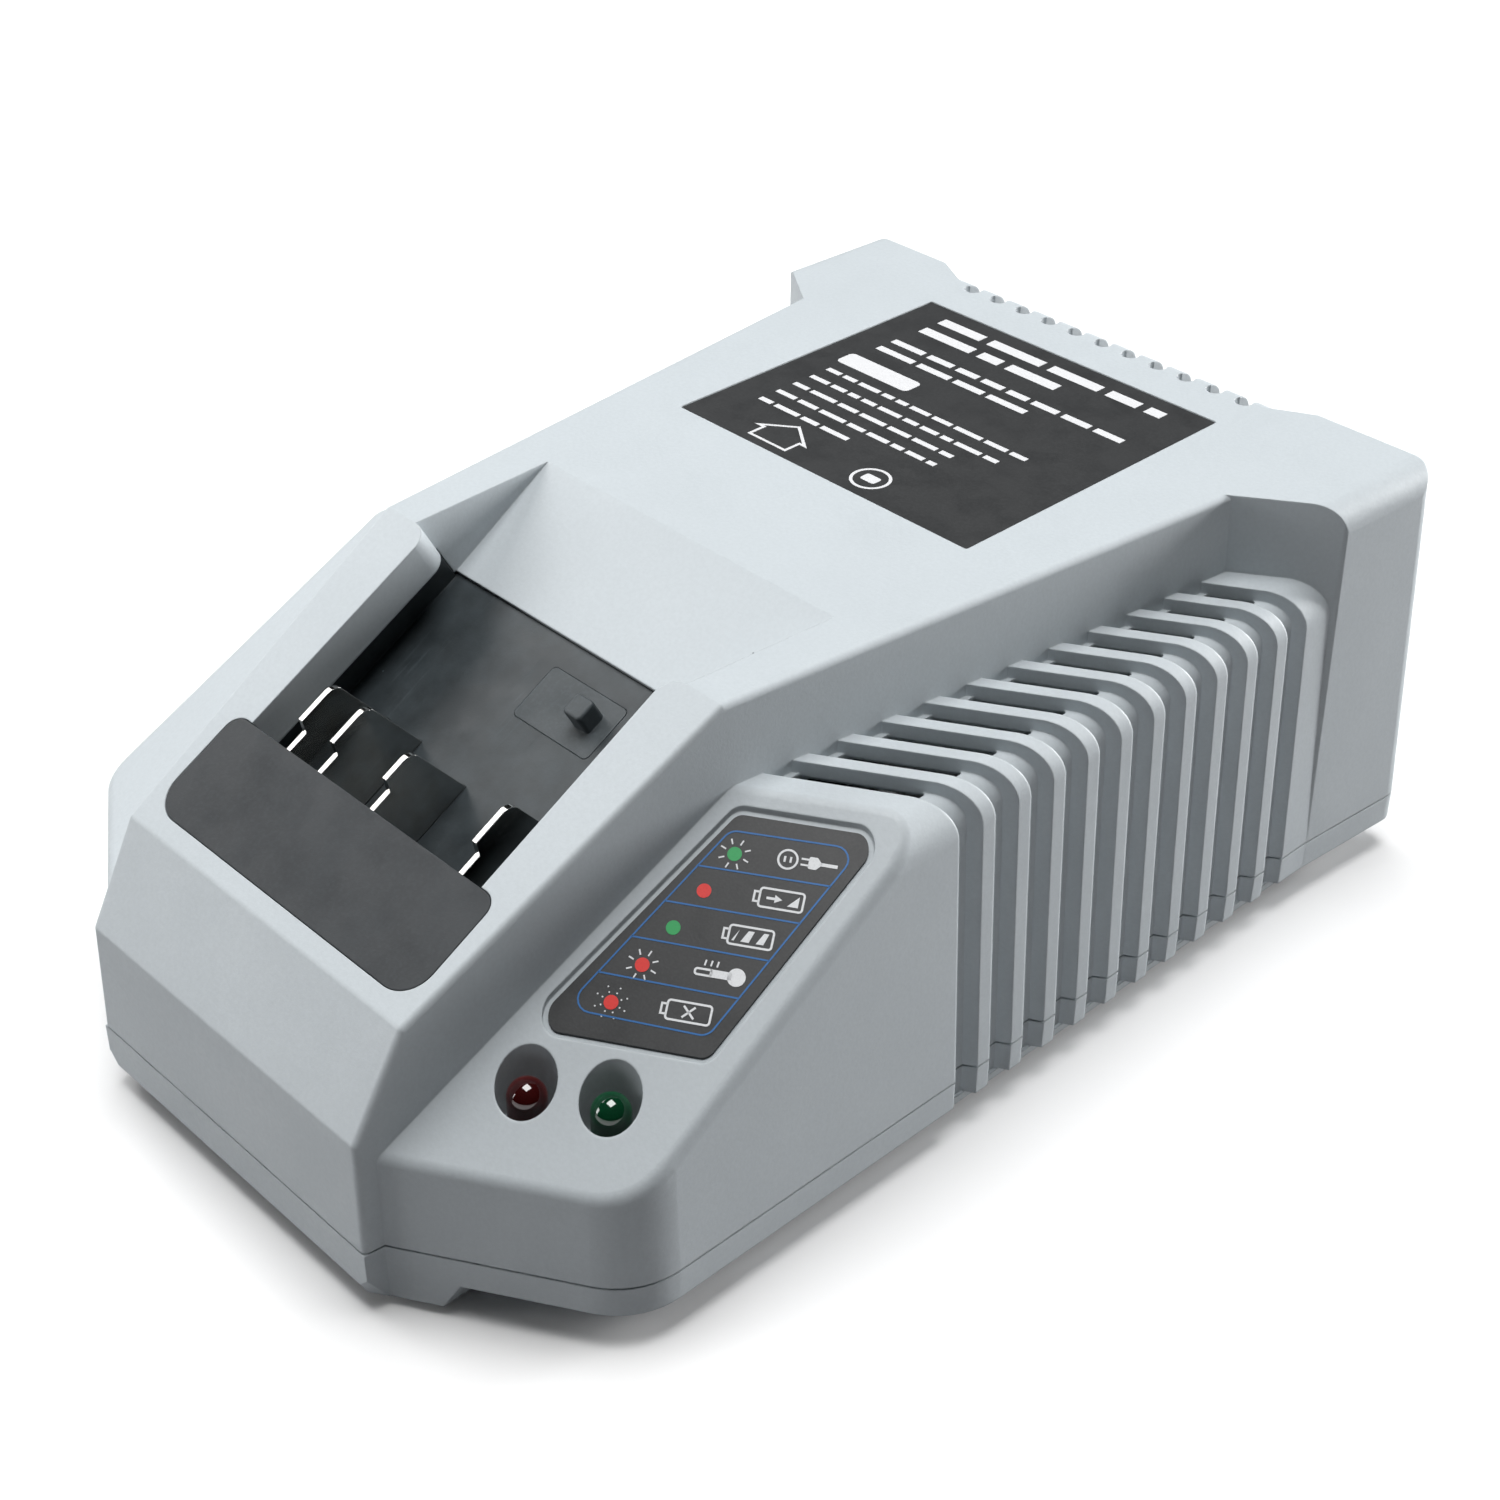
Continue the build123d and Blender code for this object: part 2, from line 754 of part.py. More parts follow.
def bay_insert():
    """Tray with the bay floor, the grooves under the rails and the wall that holds the blades."""
    half = insert_half_width
    tray = slope_box(-half, half, insert_front_u, insert_back_u, insert_low_w, -rail_thickness - seat_gap)
    free = half - insert_wall
    tray -= slope_box(-free, free, head_back_u, insert_back_u + 1, -bay_depth, 10)
    tray -= slope_box(-far, far, insert_side_u, insert_back_u + 1, -bay_depth, 10)
    head = slope_box(
        -head_half_width, head_half_width, insert_front_u, head_back_u, -rail_thickness - 1, head_top_w)
    tray += head
    for x in blade_xs.values():
        tray -= blade_plate(x, blade_thickness + 2 * seat_gap, seat_gap)
    plate = Pos(key_x, key_u) * RectangleRounded(
        key_width + 2 * seat_gap, key_length + 2 * seat_gap, key_corner_radius)
    tray -= slope_prism(plate, -bay_depth - key_thickness - seat_gap, -bay_depth + 1)
    return tray


def coding_key():
    plate = slope_prism(
        Pos(key_x, key_u) * RectangleRounded(key_width, key_length, key_corner_radius),
        -bay_depth - key_thickness, -bay_depth + seat_gap)
    peg_top = -bay_depth + peg_height
    peg = slope_prism(
        Pos(peg_x, peg_u) * RectangleRounded(peg_side, peg_side, peg_radius),
        -bay_depth - 0.5, peg_top)
    top = peg.edges().filter_by(lambda e: bay_frame.to_local_coords(e.center()).Z > peg_top - 0.01)
    return plate + fillet(top, 0.4)


# ================================================================ lights and labels

def led_y(x):
    return swept_y(led_q, x)


def panel_height(x, y):
    """Height of the right status panel at a plan position."""
    q = y - sweep_rate * (x - sweep_x)
    return wing_top_z - panel_rise_right * (panel_top_q - q)


def led_seat_z(x):
    return panel_height(x, led_y(x)) - dome_sink - led_body


def well_floor_z(x):
    return panel_height(x, led_y(x)) - well_depth


def led(x):
    """Status light: flange, body with its dome, and two legs down through the board."""
    base = led_seat_z(x)
    radius = led_diameter / 2
    body = Pos(0, 0, base) * Cylinder(led_flange_diameter / 2, led_flange, align=upward)
    body += Pos(0, 0, base) * Cylinder(radius, led_body, align=upward)
    body += Pos(0, 0, base + led_body) * Sphere(radius)
    foot = board_z - leg_below
    for side in (1, -1):
        height = base + 0.3 - foot
        body += Pos(side * led_leg_pitch / 2, 0, foot + height / 2) * Box(led_leg, led_leg, height)
    return Pos(x, led_y(x), 0) * body


def well_tubes():
    """Solid tubes round the light wells, to be bored by well_bores."""
    tubes = []
    for x in led_xs.values():
        floor = well_floor_z(x) - well_wall
        tube = Cylinder(well_diameter / 2 + well_wall, 20, align=upward)
        tubes.append(Pos(x, led_y(x), floor) * tube)
    return tubes


def well_bores():
    bores = []
    for x in led_xs.values():
        place = Pos(x, led_y(x), 0)
        bores.append(place * Pos(0, 0, well_floor_z(x) + 15) * Cylinder(well_diameter / 2, 30))
        bores.append(place * Pos(0, 0, well_floor_z(x)) * Cylinder(led_flange_diameter / 2 + fit_gap, 16))
    return bores


def label_plan(margin=0.0):
    """Plan of the status label, a swept four-sided field that follows the spine wall."""
    outer = wing_x_right - label_outer_gap
    low_x = wall_crossing(label_bottom_q, wing_top_z) + label_inner_gap
    high_x = wall_crossing(label_top_q, wing_top_z) + label_inner_gap
    corners = [
        (low_x, swept_y(label_bottom_q, low_x)),
        (outer, swept_y(label_bottom_q, outer)),
        (outer, swept_y(label_top_q, outer)),
        (high_x, swept_y(label_top_q, high_x)),
    ]
    plan = fillet(face_of(corners).vertices(), label_corner_radius)
    return offset(plan, margin) if margin else plan


def panel_slab(low, high):
    """Layer parallel to the right status panel, between two offsets from it."""
    return panel_plane(1) * Pos(0, 0, (low + high) / 2) * Box(far, far, high - low)


def status_label():
    low = -label_recess + seat_gap
    return prism(label_plan(), 0, body_height) & panel_slab(low, low + label_thickness)


def status_recess():
    return prism(label_plan(label_margin), 0, body_height) & panel_slab(-label_recess, label_recess)


def rating_plate(margin, low, high):
    outline = RectangleRounded(rating_width + 2 * margin, rating_length + 2 * margin, rating_radius)
    plan = Pos(0, rating_y) * outline
    return prism(plan, low, high)


def rating_label():
    low = body_height - rating_recess + seat_gap
    return rating_plate(0, low, low + label_thickness)


# ================================================================ upper shell

def vent_cuts():
    """Two rows of upright air slots in the back wall; the upper ones run out through the flat top."""
    cuts = []
    front = back_y(body_height) - vent_reach + recess_depth
    for k in range(vent_count):
        x = (k - (vent_count - 1) / 2) * vent_pitch
        for low, high in (
            (vent_low_z, vent_split_z - vent_bar / 2),
            (vent_split_z + vent_bar / 2, body_height + vent_width),
        ):
            slot = Plane.XZ * Pos(x, (low + high) / 2) * SlotOverall(high - low, vent_width, rotation=90)
            cuts.append(extrude(Pos(0, far, 0) * slot, amount=far - front))
        cuts.append(Pos(x, front, body_height) * Cylinder(vent_mouth_radius, 2 * vent_mouth_depth))
    return cuts


def upper_bosses(margin=0.0, low=parting_z + parting_gap):
    """Bosses that hang from the roof for the housing screws; the front two have a web to the nose."""
    posts = []
    for x, y in screw_places:
        place = Pos(x, y, (low + body_height) / 2)
        posts.append(place * Cylinder(boss_diameter / 2 + margin, body_height - low))
        if y < boss_web_length * 2:
            web = Box(wall + 2 * margin, boss_web_length, body_height - low)
            posts.append(place * Pos(0, -boss_web_length / 2, 0) * web)
    return posts


def screw_bores(diameter, low, high):
    return [Pos(x, y, (low + high) / 2) * Cylinder(diameter / 2, high - low) for x, y in screw_places]


def gland_place(y):
    return Plane(origin=(gland_x, y, gland_z), x_dir=(1, 0, 0), z_dir=(0, 1, 0))


def upper_housing():
    outer = outer_form()
    shell = outer - inner_form(drop=1.0)
    rails = slope_box(-50, 50, -2, bay_end_u + 4, -rail_thickness, 0)
    ramp = slope_prism(channel_face(insert_back_u - 2, wall), -channel_depth - channel_floor, 60)
    solids = [rails & spine_form(wall / 2), ramp & spine_form(wall / 2)]
    solids += [post & outer for post in upper_bosses() + well_tubes()]
    gland_pad = Pos(gland_x, gland_seat_y, gland_z) * Box(14, 2 * gland_pad_depth, 16)
    shell = shell + solids
    shell += gland_pad & block_form(wall / 2)
    cuts = bay_space() + well_bores() + [status_recess()]
    cuts += wing_slots(1) + wing_slots(-1) + vent_cuts()
    cuts.append(slope_prism(cover_face(fit_gap), -cover_thickness - seat_gap, 10))
    cuts.append(rating_plate(rating_margin, body_height - rating_recess, body_height + 1))
    cuts += screw_bores(screw_core, parting_z - 5, screw_seat_z + screw_length + 1)
    cuts.append(extrude(gland_place(body_length - 20) * Circle(gland_diameter / 2 + fit_gap), amount=40))
    cuts.append(extrude(gland_place(gland_seat_y) * Circle(gland_flange_diameter / 2 + fit_gap), amount=40))
    cuts.append(Pos(0, 0, parting_z + parting_gap / 2 - 50) * Box(far, far, 100))
    return shell - cuts


# ================================================================ lower shell

def belly_plan():
    """Plan of the base's underside: a keel under the nose, wider under the wings."""
    right = [
        (nose_half_width - 2, keel_front_y),
        (keel_half_width, swept_y(wing_front_q, keel_half_width)),
        (keel_half_width, swept_y(belly_wing_q, keel_half_width)),
    ]
    outlines = []
    step_front, step_back = belly_block_step
    for side, outer, back in ((1, wing_x_right, block_x_right), (-1, wing_x_left, block_x_left)):
        belly = outer - belly_inset
        half = right + [
            (belly, swept_y(belly_wing_q, belly)),
            (belly, block_front_y + step_front),
            (back - belly_inset, block_front_y + step_back),
            (back - belly_inset, body_length - belly_inset),
        ]
        outlines.append([(side * x, y) for x, y in half])
    return face_of(outlines[0] + list(reversed(outlines[1])))


def fan_cradle():
    """Two upright ribs under the fan, each with a cheek in front of the frame and one behind it."""
    y0, y1 = fan_front_y - seat_gap, fan_front_y + fan_depth + seat_gap
    low, seat = base_z + wall / 2, fan_z - fan_size / 2 - seat_gap
    side = Plane.YZ * face_of([
        (y0 - cradle_cheek_front, low),
        (y1 + cradle_cheek_back, low),
        (y1 + cradle_cheek_back, cradle_top_z),
        (y1, cradle_top_z),
        (y1, seat),
        (y0, seat),
        (y0, cradle_top_z),
        (y0 - cradle_cheek_front, cradle_top_z),
    ])
    plate = extrude(side, amount=cradle_thickness / 2, both=True)
    return [Pos(x, 0, 0) * plate for x in (-cradle_x, cradle_x)]


def lower_housing():
    band_z = parting_z - parting_gap / 2 - band_height
    top = parting_z - parting_gap / 2
    wing_inset = groove_depth + groove_wall
    band = prism(lower_outline(), band_z, top)
    for side in (1, -1):
        inner = prism(wing_plan(side, groove_depth), 0, top) + prism(spine_plan() + block_plan(), 0, top)
        band -= [groove_slab(side, k) - inner for k in range(rib_count)]
    slant = -degrees(atan2(belly_slant, band_z - base_z))
    belly = extrude(Pos(0, 0, base_z) * belly_plan(), amount=band_z - base_z, taper=slant)
    shell = band + (belly & prism(lower_outline(), 0, top))
    floor = base_z + base_thickness
    hollow = prism(lower_outline(wall, wing_inset), band_z + base_thickness, top + 1)
    hollow += extrude(Pos(0, 0, floor) * offset(belly_plan(), -wall, kind=Kind.INTERSECTION), amount=10)
    shell -= hollow & prism(lower_outline(wall, wing_inset), 0, top + 1)
    lip = prism(lower_outline(wall + fit_gap, wing_inset + fit_gap), top - 2, top + lip_height)
    lip -= prism(lower_outline(wall + fit_gap + lip_width, wing_inset + fit_gap + lip_width), 0, body_height)
    lip -= upper_bosses(2 * fit_gap, top)
    solids = [lip] + fan_cradle()
    posts = [(p, socket_diameter, screw_seat_top) for p in screw_places]
    posts += [(p, standoff_diameter, board_z - seat_gap) for p in board_screw_places]
    for (x, y), diameter, height in posts:
        solids.append(Pos(x, y, (base_z + height) / 2) * Cylinder(diameter / 2, height - base_z))
    shell = shell + solids
    cuts = screw_bores(screw_diameter + 2 * screw_clearance, 0, 30)
    cuts += screw_bores(screw_head_diameter + 4 * screw_clearance, 0, screw_seat_z)
    for x, y in board_screw_places:
        core = Cylinder(board_screw_core / 2, board_screw_length)
        cuts.append(Pos(x, y, board_z - board_screw_length / 2) * core)
    for x, y in foot_places:
        cuts.append(Pos(x, y, 0) * Cylinder(foot_diameter / 2 + fit_gap, 2 * (base_z + foot_socket)))
    return shell - cuts


def rubber_feet():
    feet = []
    for x, y in foot_places:
        foot = Cylinder(foot_diameter / 2, base_z + foot_socket - seat_gap, align=upward)
        foot = fillet(foot.edges().sort_by(Axis.Z)[0], 0.5)
        feet.append(Pos(x, y, 0) * foot)
    return Compound(feet)


# ================================================================ fasteners

def pan_screw(x, y, seat, length, diameter, head_diameter, head, up):
    """Screw with a domed head and a cross recess; up is +1 when its shank points up."""
    shank = Pos(0, 0, length / 2) * Cylinder(diameter / 2, length)
    shank = chamfer(shank.edges().sort_by(Axis.Z)[-1], diameter * 0.25)
    cap = Pos(0, 0, -head / 2) * Cylinder(head_diameter / 2, head)
    cap = fillet(cap.edges().sort_by(Axis.Z)[0], head * 0.45)
    arm = head_diameter * 0.5
    cross = Box(arm, arm * 0.22, head) + Box(arm * 0.22, arm, head)
    body = cap + shank - Pos(0, 0, -head) * cross
    flip = Rot(0, 0, 0) if up > 0 else Rot(180, 0, 0)
    return Pos(x, y, seat) * flip * body


def housing_screws():
    return Compound([
        pan_screw(x, y, screw_seat_z - seat_gap, screw_length, screw_core - 2 * seat_gap,
                  screw_head_diameter, screw_head, 1)
        for x, y in screw_places
    ])


def board_screws():
    return Compound([
        pan_screw(x, y, board_top + seat_gap, board_screw_length, board_screw_core - 2 * seat_gap,
                  board_screw_head_diameter, board_screw_head, -1)
        for x, y in board_screw_places
    ])


# ================================================================ cord inlet

def cord_gland():
    """Rubber bush through the back wall, with a flange on each side of the wall."""
    length = gland_pad_depth + 2 * gland_flange
    start = gland_seat_y - gland_pad_depth - seat_gap
    mouth = gland_place(start - gland_flange) * Circle(gland_diameter / 2)
    bush = extrude(mouth, amount=length + 2 * seat_gap)
    for y in (start - gland_flange, gland_seat_y + seat_gap):
        flange = extrude(gland_place(y) * Circle(gland_flange_diameter / 2), amount=gland_flange)
        bush += fillet(flange.edges(), 0.4)
    return bush - extrude(gland_place(start - 10) * Circle(gland_bore / 2), amount=40)


# ================================================================ circuit board and what it carries

def main_board():
    outline = face_of([
        (board_left, board_front),
        (tongue_left, board_front),
        (tongue_left, swept_y(tongue_front_q, tongue_left)),
        (tongue_right, swept_y(tongue_front_q, tongue_right)),
        (tongue_right, tongue_back),
        (board_right, tongue_back),
        (board_right, board_back),
        (board_left, board_back),
    ])
    board = prism(outline, board_z, board_top)
    for x, y in board_screw_places:
        board -= Pos(x, y, board_z) * Cylinder(board_screw_diameter / 2 + screw_clearance, 10)
    for x in led_xs.values():
        for side in (1, -1):
            board -= Pos(x + side * led_leg_pitch / 2, led_y(x), board_z) * Cylinder(led_leg * 0.8, 10)
    for x in blade_xs.values():
        board -= Pos(x, lead_board_y, board_z) * Cylinder(lead_core / 2 + seat_gap, 10)
    return board


def on_board(x, y, lift=0.0):
    """Place on the board's upper face."""
    return Pos(x, y, board_top + seat_gap + lift)


def standing(width, depth, height, radius=0.4):
    """Rounded block standing on its base at the origin."""
    block = Box(width, depth, height, align=upward)
    upper = [e for e in block.edges() if e.center().Z > 0.01]
    return fillet(upper, radius)


def can(diameter, height, groove_z=2.6):
    """Electrolytic capacitor standing on its base: sleeve groove, rolled top and scored cap."""
    radius = diameter / 2
    profile = Polyline(
        (0, 0), (radius - 0.5, 0), (radius, 0.5), (radius, groove_z - 0.6), (radius - 0.6, groove_z),
        (radius, groove_z + 0.6), (radius, height - 0.7), (radius - 0.7, height), (radius - 1.3, height),
        (radius - 1.5, height - 0.35), (0, height - 0.35), close=True)
    body = revolve(Plane.XZ * make_face(profile), Axis.Z)
    score = Box(radius * 1.2, 0.4, 0.4) + Box(0.4, radius * 1.2, 0.4)
    return body - Pos(0, 0, height - 0.35) * score


def transformer_core():
    """Two E-shaped ferrite halves that meet in the middle leg."""
    width, depth, height, leg = core_size
    ring = Box(width, depth, height, align=upward)
    ring -= Pos(0, 0, leg) * Box(width - 2 * leg, depth + 1, height - 2 * leg, align=upward)
    ring += Pos(0, 0, height / 2) * Cylinder(core_pole / 2, height - 2)
    split = Pos(0, 0, height / 2) * Box(width + 1, depth + 1, core_joint)
    return on_board(*transformer_place, bobbin_foot) * (ring - split)


def transformer_bobbin():
    """Spool round the middle leg, with a flange at each end and two pin rails."""
    width, depth, height, leg = core_size
    low, high = leg + seat_gap, height - leg - seat_gap
    spool = Pos(0, 0, (low + high) / 2) * Cylinder(core_pole / 2 + 0.15 + bobbin_wall, high - low)
    flange_width = width - 2 * leg - 0.3
    for z in (low, high - bobbin_wall):
        spool += Pos(0, 0, z) * standing(flange_width, bobbin_depth, bobbin_wall, 0.2)
    for side in (1, -1):
        rail_y = side * (bobbin_depth / 2 - bobbin_rail / 2)
        height_rail = low + bobbin_foot
        spool += Pos(0, rail_y, -bobbin_foot) * Box(
            flange_width, bobbin_rail, height_rail + 0.5, align=upward)
    spool -= Pos(0, 0, height / 2) * Cylinder(core_pole / 2 + 0.15, height * 2)
    return on_board(*transformer_place, bobbin_foot) * spool


def transformer_winding():
    """Wound layers between the bobbin's flanges, under tape."""
    height, leg = core_size[2:]
    low, high = leg + bobbin_wall + 2 * seat_gap, height - leg - bobbin_wall - 2 * seat_gap
    inner = core_pole / 2 + 0.15 + bobbin_wall + seat_gap
    coil = Pos(0, 0, (low + high) / 2) * (Cylinder(winding_diameter / 2, high - low) - Cylinder(inner, high))
    rims = coil.edges().filter_by(GeomType.CIRCLE)
    coil = fillet([e for e in rims if e.radius > inner + 1], 0.6)
    return on_board(*transformer_place, bobbin_foot) * coil


def choke_core():
    ring = Cylinder(choke_outer / 2, choke_height) - Cylinder(choke_inner / 2, choke_height + 1)
    ring = fillet(ring.edges(), 0.8)
    return on_board(*choke_place, choke_outer / 2) * Rot(0, 90, 90) * ring


def choke_windings():
    """Two coils of single turns round the ring, one on each half."""
    turns = []
    mean = (choke_outer + choke_inner) / 4
    half_w = (choke_outer - choke_inner) / 4 + choke_wire / 2 + seat_gap
    half_h = choke_height / 2 + choke_wire / 2 + seat_gap
    loop = RectangleRounded(2 * half_w + choke_wire, 2 * half_h + choke_wire, 1.3)
    loop -= RectangleRounded(2 * half_w - choke_wire, 2 * half_h - choke_wire, 0.9)
    turn = Pos(mean, 0, 0) * extrude(Plane.XZ * loop, amount=choke_wire / 2, both=True)
    for side in (0, 180):
        for k in range(choke_turns):
            angle = side + (k - (choke_turns - 1) / 2) * choke_turn_angle
            turns.append(Rot(0, 0, angle) * turn)
    place = on_board(*choke_place, choke_outer / 2) * Rot(0, 90, 90)
    return place * Compound(turns)


def x_capacitor():
    return on_board(*x_capacitor_place) * standing(*x_capacitor_size, 0.8)


def fuse():
    """Glass cartridge with two end caps, lying across the board."""
    tube = Rot(0, 90, 0) * Cylinder(fuse_diameter / 2 - 0.3, fuse_length - 2)
    for side in (1, -1):
        end = Rot(0, 90, 0) * Cylinder(fuse_diameter / 2, fuse_cap)
        tube += Pos(side * (fuse_length - fuse_cap) / 2, 0, 0) * fillet(end.edges(), 0.3)
    return on_board(*fuse_place, fuse_diameter / 2 + fuse_lift) * tube


def fuse_clips():
    """Two spring clips that hold the fuse by its caps."""
    clips = []
    gap = fuse_diameter / 2 + seat_gap
    for side in (1, -1):
        block = Box(fuse_cap - 1, fuse_diameter + 1.6, fuse_diameter + fuse_lift, align=upward)
        block -= Pos(0, 0, fuse_diameter / 2 + fuse_lift) * Rot(0, 90, 0) * Cylinder(gap, fuse_cap)
        block -= Pos(0, 0, fuse_diameter + fuse_lift) * Box(fuse_cap, fuse_diameter * 0.7, fuse_diameter)
        block -= Pos(0, 0, fuse_lift / 2 + 0.4) * Box(fuse_cap, fuse_diameter * 0.6, fuse_lift / 2)
        clips.append(on_board(*fuse_place) * Pos(side * (fuse_length - fuse_cap) / 2, 0, 0) * block)
    return Compound(clips)


def legged(width, depth, height, count, pitch, stand):
    """Flat package standing on a row of legs that go through the board."""
    body = Pos(0, 0, stand) * standing(width, depth, height, 0.5)
    for k in range(count):
        x = (k - (count - 1) / 2) * pitch
        body += Pos(x, 0, 0) * Box(leg_width, leg_thickness, stand + 0.5, align=upward)
    return body


def bridge_rectifier():
    width, depth, height = rectifier_size
    return on_board(*rectifier_place) * legged(width, depth, height, 4, 5.0, 3.0)


def power_package():
    """Flat three-legged power part with its mounting tab."""
    body = legged(package_width, package_depth, package_height, 3, 2.54, package_stand)
    tab_y = (package_depth - package_tab) / 2
    tab = Box(package_width, package_tab, package_tab_height, align=upward)
    hole = Pos(0, 0, package_tab_height * 0.6) * Rot(90, 0, 0) * Cylinder(1.8, package_tab * 2)
    return body + Pos(0, tab_y, package_stand + package_height - 0.5) * (tab - hole)


def heatsink():
    """Upright plate along X with fins on its far side."""
    plate = Box(sink_width, sink_plate, sink_height, align=(Align.CENTER, Align.MIN, Align.MIN))
    for k in range(sink_fins):
        x = (k - (sink_fins - 1) / 2) * (sink_width - sink_fin) / (sink_fins - 1)
        fin = Box(sink_fin, sink_reach, sink_height, align=(Align.CENTER, Align.MIN, Align.MIN))
        plate += Pos(x, sink_plate, 0) * fin
    return plate


def primary_place():
    return on_board(*primary_sink_place)


def secondary_place():
    return on_board(*secondary_sink_place) * Rot(0, 0, -90)


def package_on_sink():
    return Pos(0, -package_depth / 2 - seat_gap, 0) * power_package()


def primary_heatsink():
    return primary_place() * heatsink()


def secondary_heatsink():
    return secondary_place() * heatsink()


def mosfet():
    return primary_place() * package_on_sink()


def output_diode():
    return secondary_place() * package_on_sink()


def bulk_capacitor():
    return on_board(*bulk_capacitor_place) * can(*bulk_capacitor_size)


def output_capacitors():
    return Compound([on_board(x, y) * can(*output_capacitor_size) for x, y in output_capacitor_places])


def flat_chip(width, depth, height, pins, pitch):
    """Chip package with bent legs along both long sides."""
    body = Pos(0, 0, chip_stand) * Box(width, depth, height, align=upward)
    body = chamfer(body.edges().group_by(Axis.Z)[-1], 0.3)
    body -= Pos(-width / 2 + 1.2, 0, chip_stand + height) * Cylinder(0.5, 0.4)
    for side in (1, -1):
        for k in range(pins):
            x = (k - (pins - 1) / 2) * pitch
            leg = Box(chip_leg, chip_leg_reach, chip_leg_thickness)
            foot = Box(chip_leg, chip_leg_thickness, chip_stand + height / 2, align=upward)
            y = side * (depth / 2 + chip_leg_reach / 2 - 0.2)
            body += Pos(x, y, chip_stand + height / 2) * leg
            body += Pos(x, side * (depth / 2 + chip_leg_reach - 0.3), 0) * foot
    return body


def control_chip():
    return on_board(*control_chip_place) * flat_chip(*control_chip_size, 8, 2.54)


def optocouplers():
    return Compound([
        on_board(x, y) * flat_chip(*optocoupler_size, 2, 2.54) for x, y in optocoupler_places
    ])


def contact_leads():
    """Insulated wires from the blade tails down to the board, each with a bare end in the board."""
    leads = []
    for x in blade_xs.values():
        top = bay_frame * Pos(x, tail_u, insert_low_w - tail_length - seat_gap)
        p0 = top.position
        away = -bay_frame.z_dir
        p3 = Vector(x, lead_board_y, board_top + seat_gap)
        path = Bezier(p0, p0 + away * lead_bend, p3 + Vector(0, 0, lead_bend), p3)
        section = Plane(origin=p0, z_dir=away) * Circle(lead_diameter / 2)
        wire = sweep(section, path=path)
        end_z = board_top + seat_gap - lead_strip / 2 + 0.2
        end = Pos(x, lead_board_y, end_z) * Cylinder(lead_core / 2, lead_strip)
        leads.append(wire + end)
    return Compound(leads)


# ================================================================ fan

def fan_place():
    return Plane(origin=(0, fan_front_y, fan_z), x_dir=(1, 0, 0), z_dir=(0, 1, 0))


def fan_frame():
    """Square frame, four struts, and the middle plate with its fixed shaft."""
    ring = RectangleRounded(fan_size, fan_size, 2.5) - Circle(fan_bore / 2)
    body = extrude(ring, amount=fan_depth)
    corners = [(sx * fan_hole_offset, sy * fan_hole_offset) for sx in (1, -1) for sy in (1, -1)]
    for x, y in corners:
        body -= Pos(x, y, fan_depth / 2) * Cylinder(fan_hole / 2, fan_depth + 2)
    plate = Pos(0, 0, fan_depth - fan_strut / 2) * Cylinder(fan_hub / 2, fan_strut)
    for angle in (45, 135):
        strut = Box(fan_bore + 2, fan_strut * 1.6, fan_strut)
        plate += Pos(0, 0, fan_depth - fan_strut / 2) * Rot(0, 0, angle) * strut
    shaft = Cylinder(fan_shaft / 2, fan_depth - fan_hub_front - fan_hub_wall, align=upward)
    return fan_place() * (body + plate + Pos(0, 0, fan_hub_front + fan_hub_wall) * shaft)


def fan_rotor():
    """Cup-shaped hub on the shaft, with pitched blades round it."""
    back = fan_depth - fan_strut - fan_end_gap
    hub = Pos(0, 0, (fan_hub_front + back) / 2) * Cylinder(fan_hub / 2, back - fan_hub_front)
    hub = fillet(hub.edges().sort_by(Axis.Z)[0], 1.2)
    hub -= Pos(0, 0, fan_hub_front + fan_hub_wall) * Cylinder(
        fan_shaft / 2 + fan_shaft_clearance, fan_depth, align=upward)
    reach = fan_bore / 2 - fan_tip_gap
    outward = (Align.MIN, Align.CENTER, Align.CENTER)
    blade = Box(reach - fan_hub / 2 + 1.5, fan_blade_thickness, fan_blade_chord, align=outward)
    blade = Pos(fan_hub / 2 - 1.5, 0, (fan_hub_front + back) / 2) * Rot(fan_blade_pitch, 0, 0) * blade
    ring = Cylinder(reach, fan_depth * 2)
    slab = Pos(0, 0, (fan_hub_front + back) / 2) * Box(far, far, back - fan_hub_front)
    for k in range(fan_blade_count):
        hub += Rot(0, 0, k * 360 / fan_blade_count) * blade & ring & slab
    return fan_place() * hub


# ================================================================ files, one per piece

pieces = {
    "upper_housing": upper_housing,
    "lower_housing": lower_housing,
    "bay_insert": bay_insert,
    "contact_cover": contact_cover,
    "coding_key": coding_key,
    "led_red": lambda: led(led_xs["red"]),
    "led_green": lambda: led(led_xs["green"]),
    "status_label": status_label,
    "rating_label": rating_label,
    "rubber_feet": rubber_feet,
    "housing_screws": housing_screws,
    "board_screws": board_screws,
    "cord_gland": cord_gland,
    "main_board": main_board,
    "transformer_core": transformer_core,
    "transformer_bobbin": transformer_bobbin,
    "transformer_winding": transformer_winding,
    "choke_core": choke_core,
    "choke_windings": choke_windings,
    "x_capacitor": x_capacitor,
    "fuse": fuse,
    "fuse_clips": fuse_clips,
    "bridge_rectifier": bridge_rectifier,
    "bulk_capacitor": bulk_capacitor,
    "output_capacitors": output_capacitors,
    "primary_heatsink": primary_heatsink,
    "mosfet": mosfet,
    "secondary_heatsink": secondary_heatsink,
    "output_diode": output_diode,
    "control_chip": control_chip,
    "optocouplers": optocouplers,
    "contact_leads": contact_leads,
    "fan_frame": fan_frame,
    "fan_rotor": fan_rotor,
}
for contact_name, contact_x in blade_xs.items():
    pieces["blade_" + contact_name] = lambda x=contact_x: contact_blade(x)

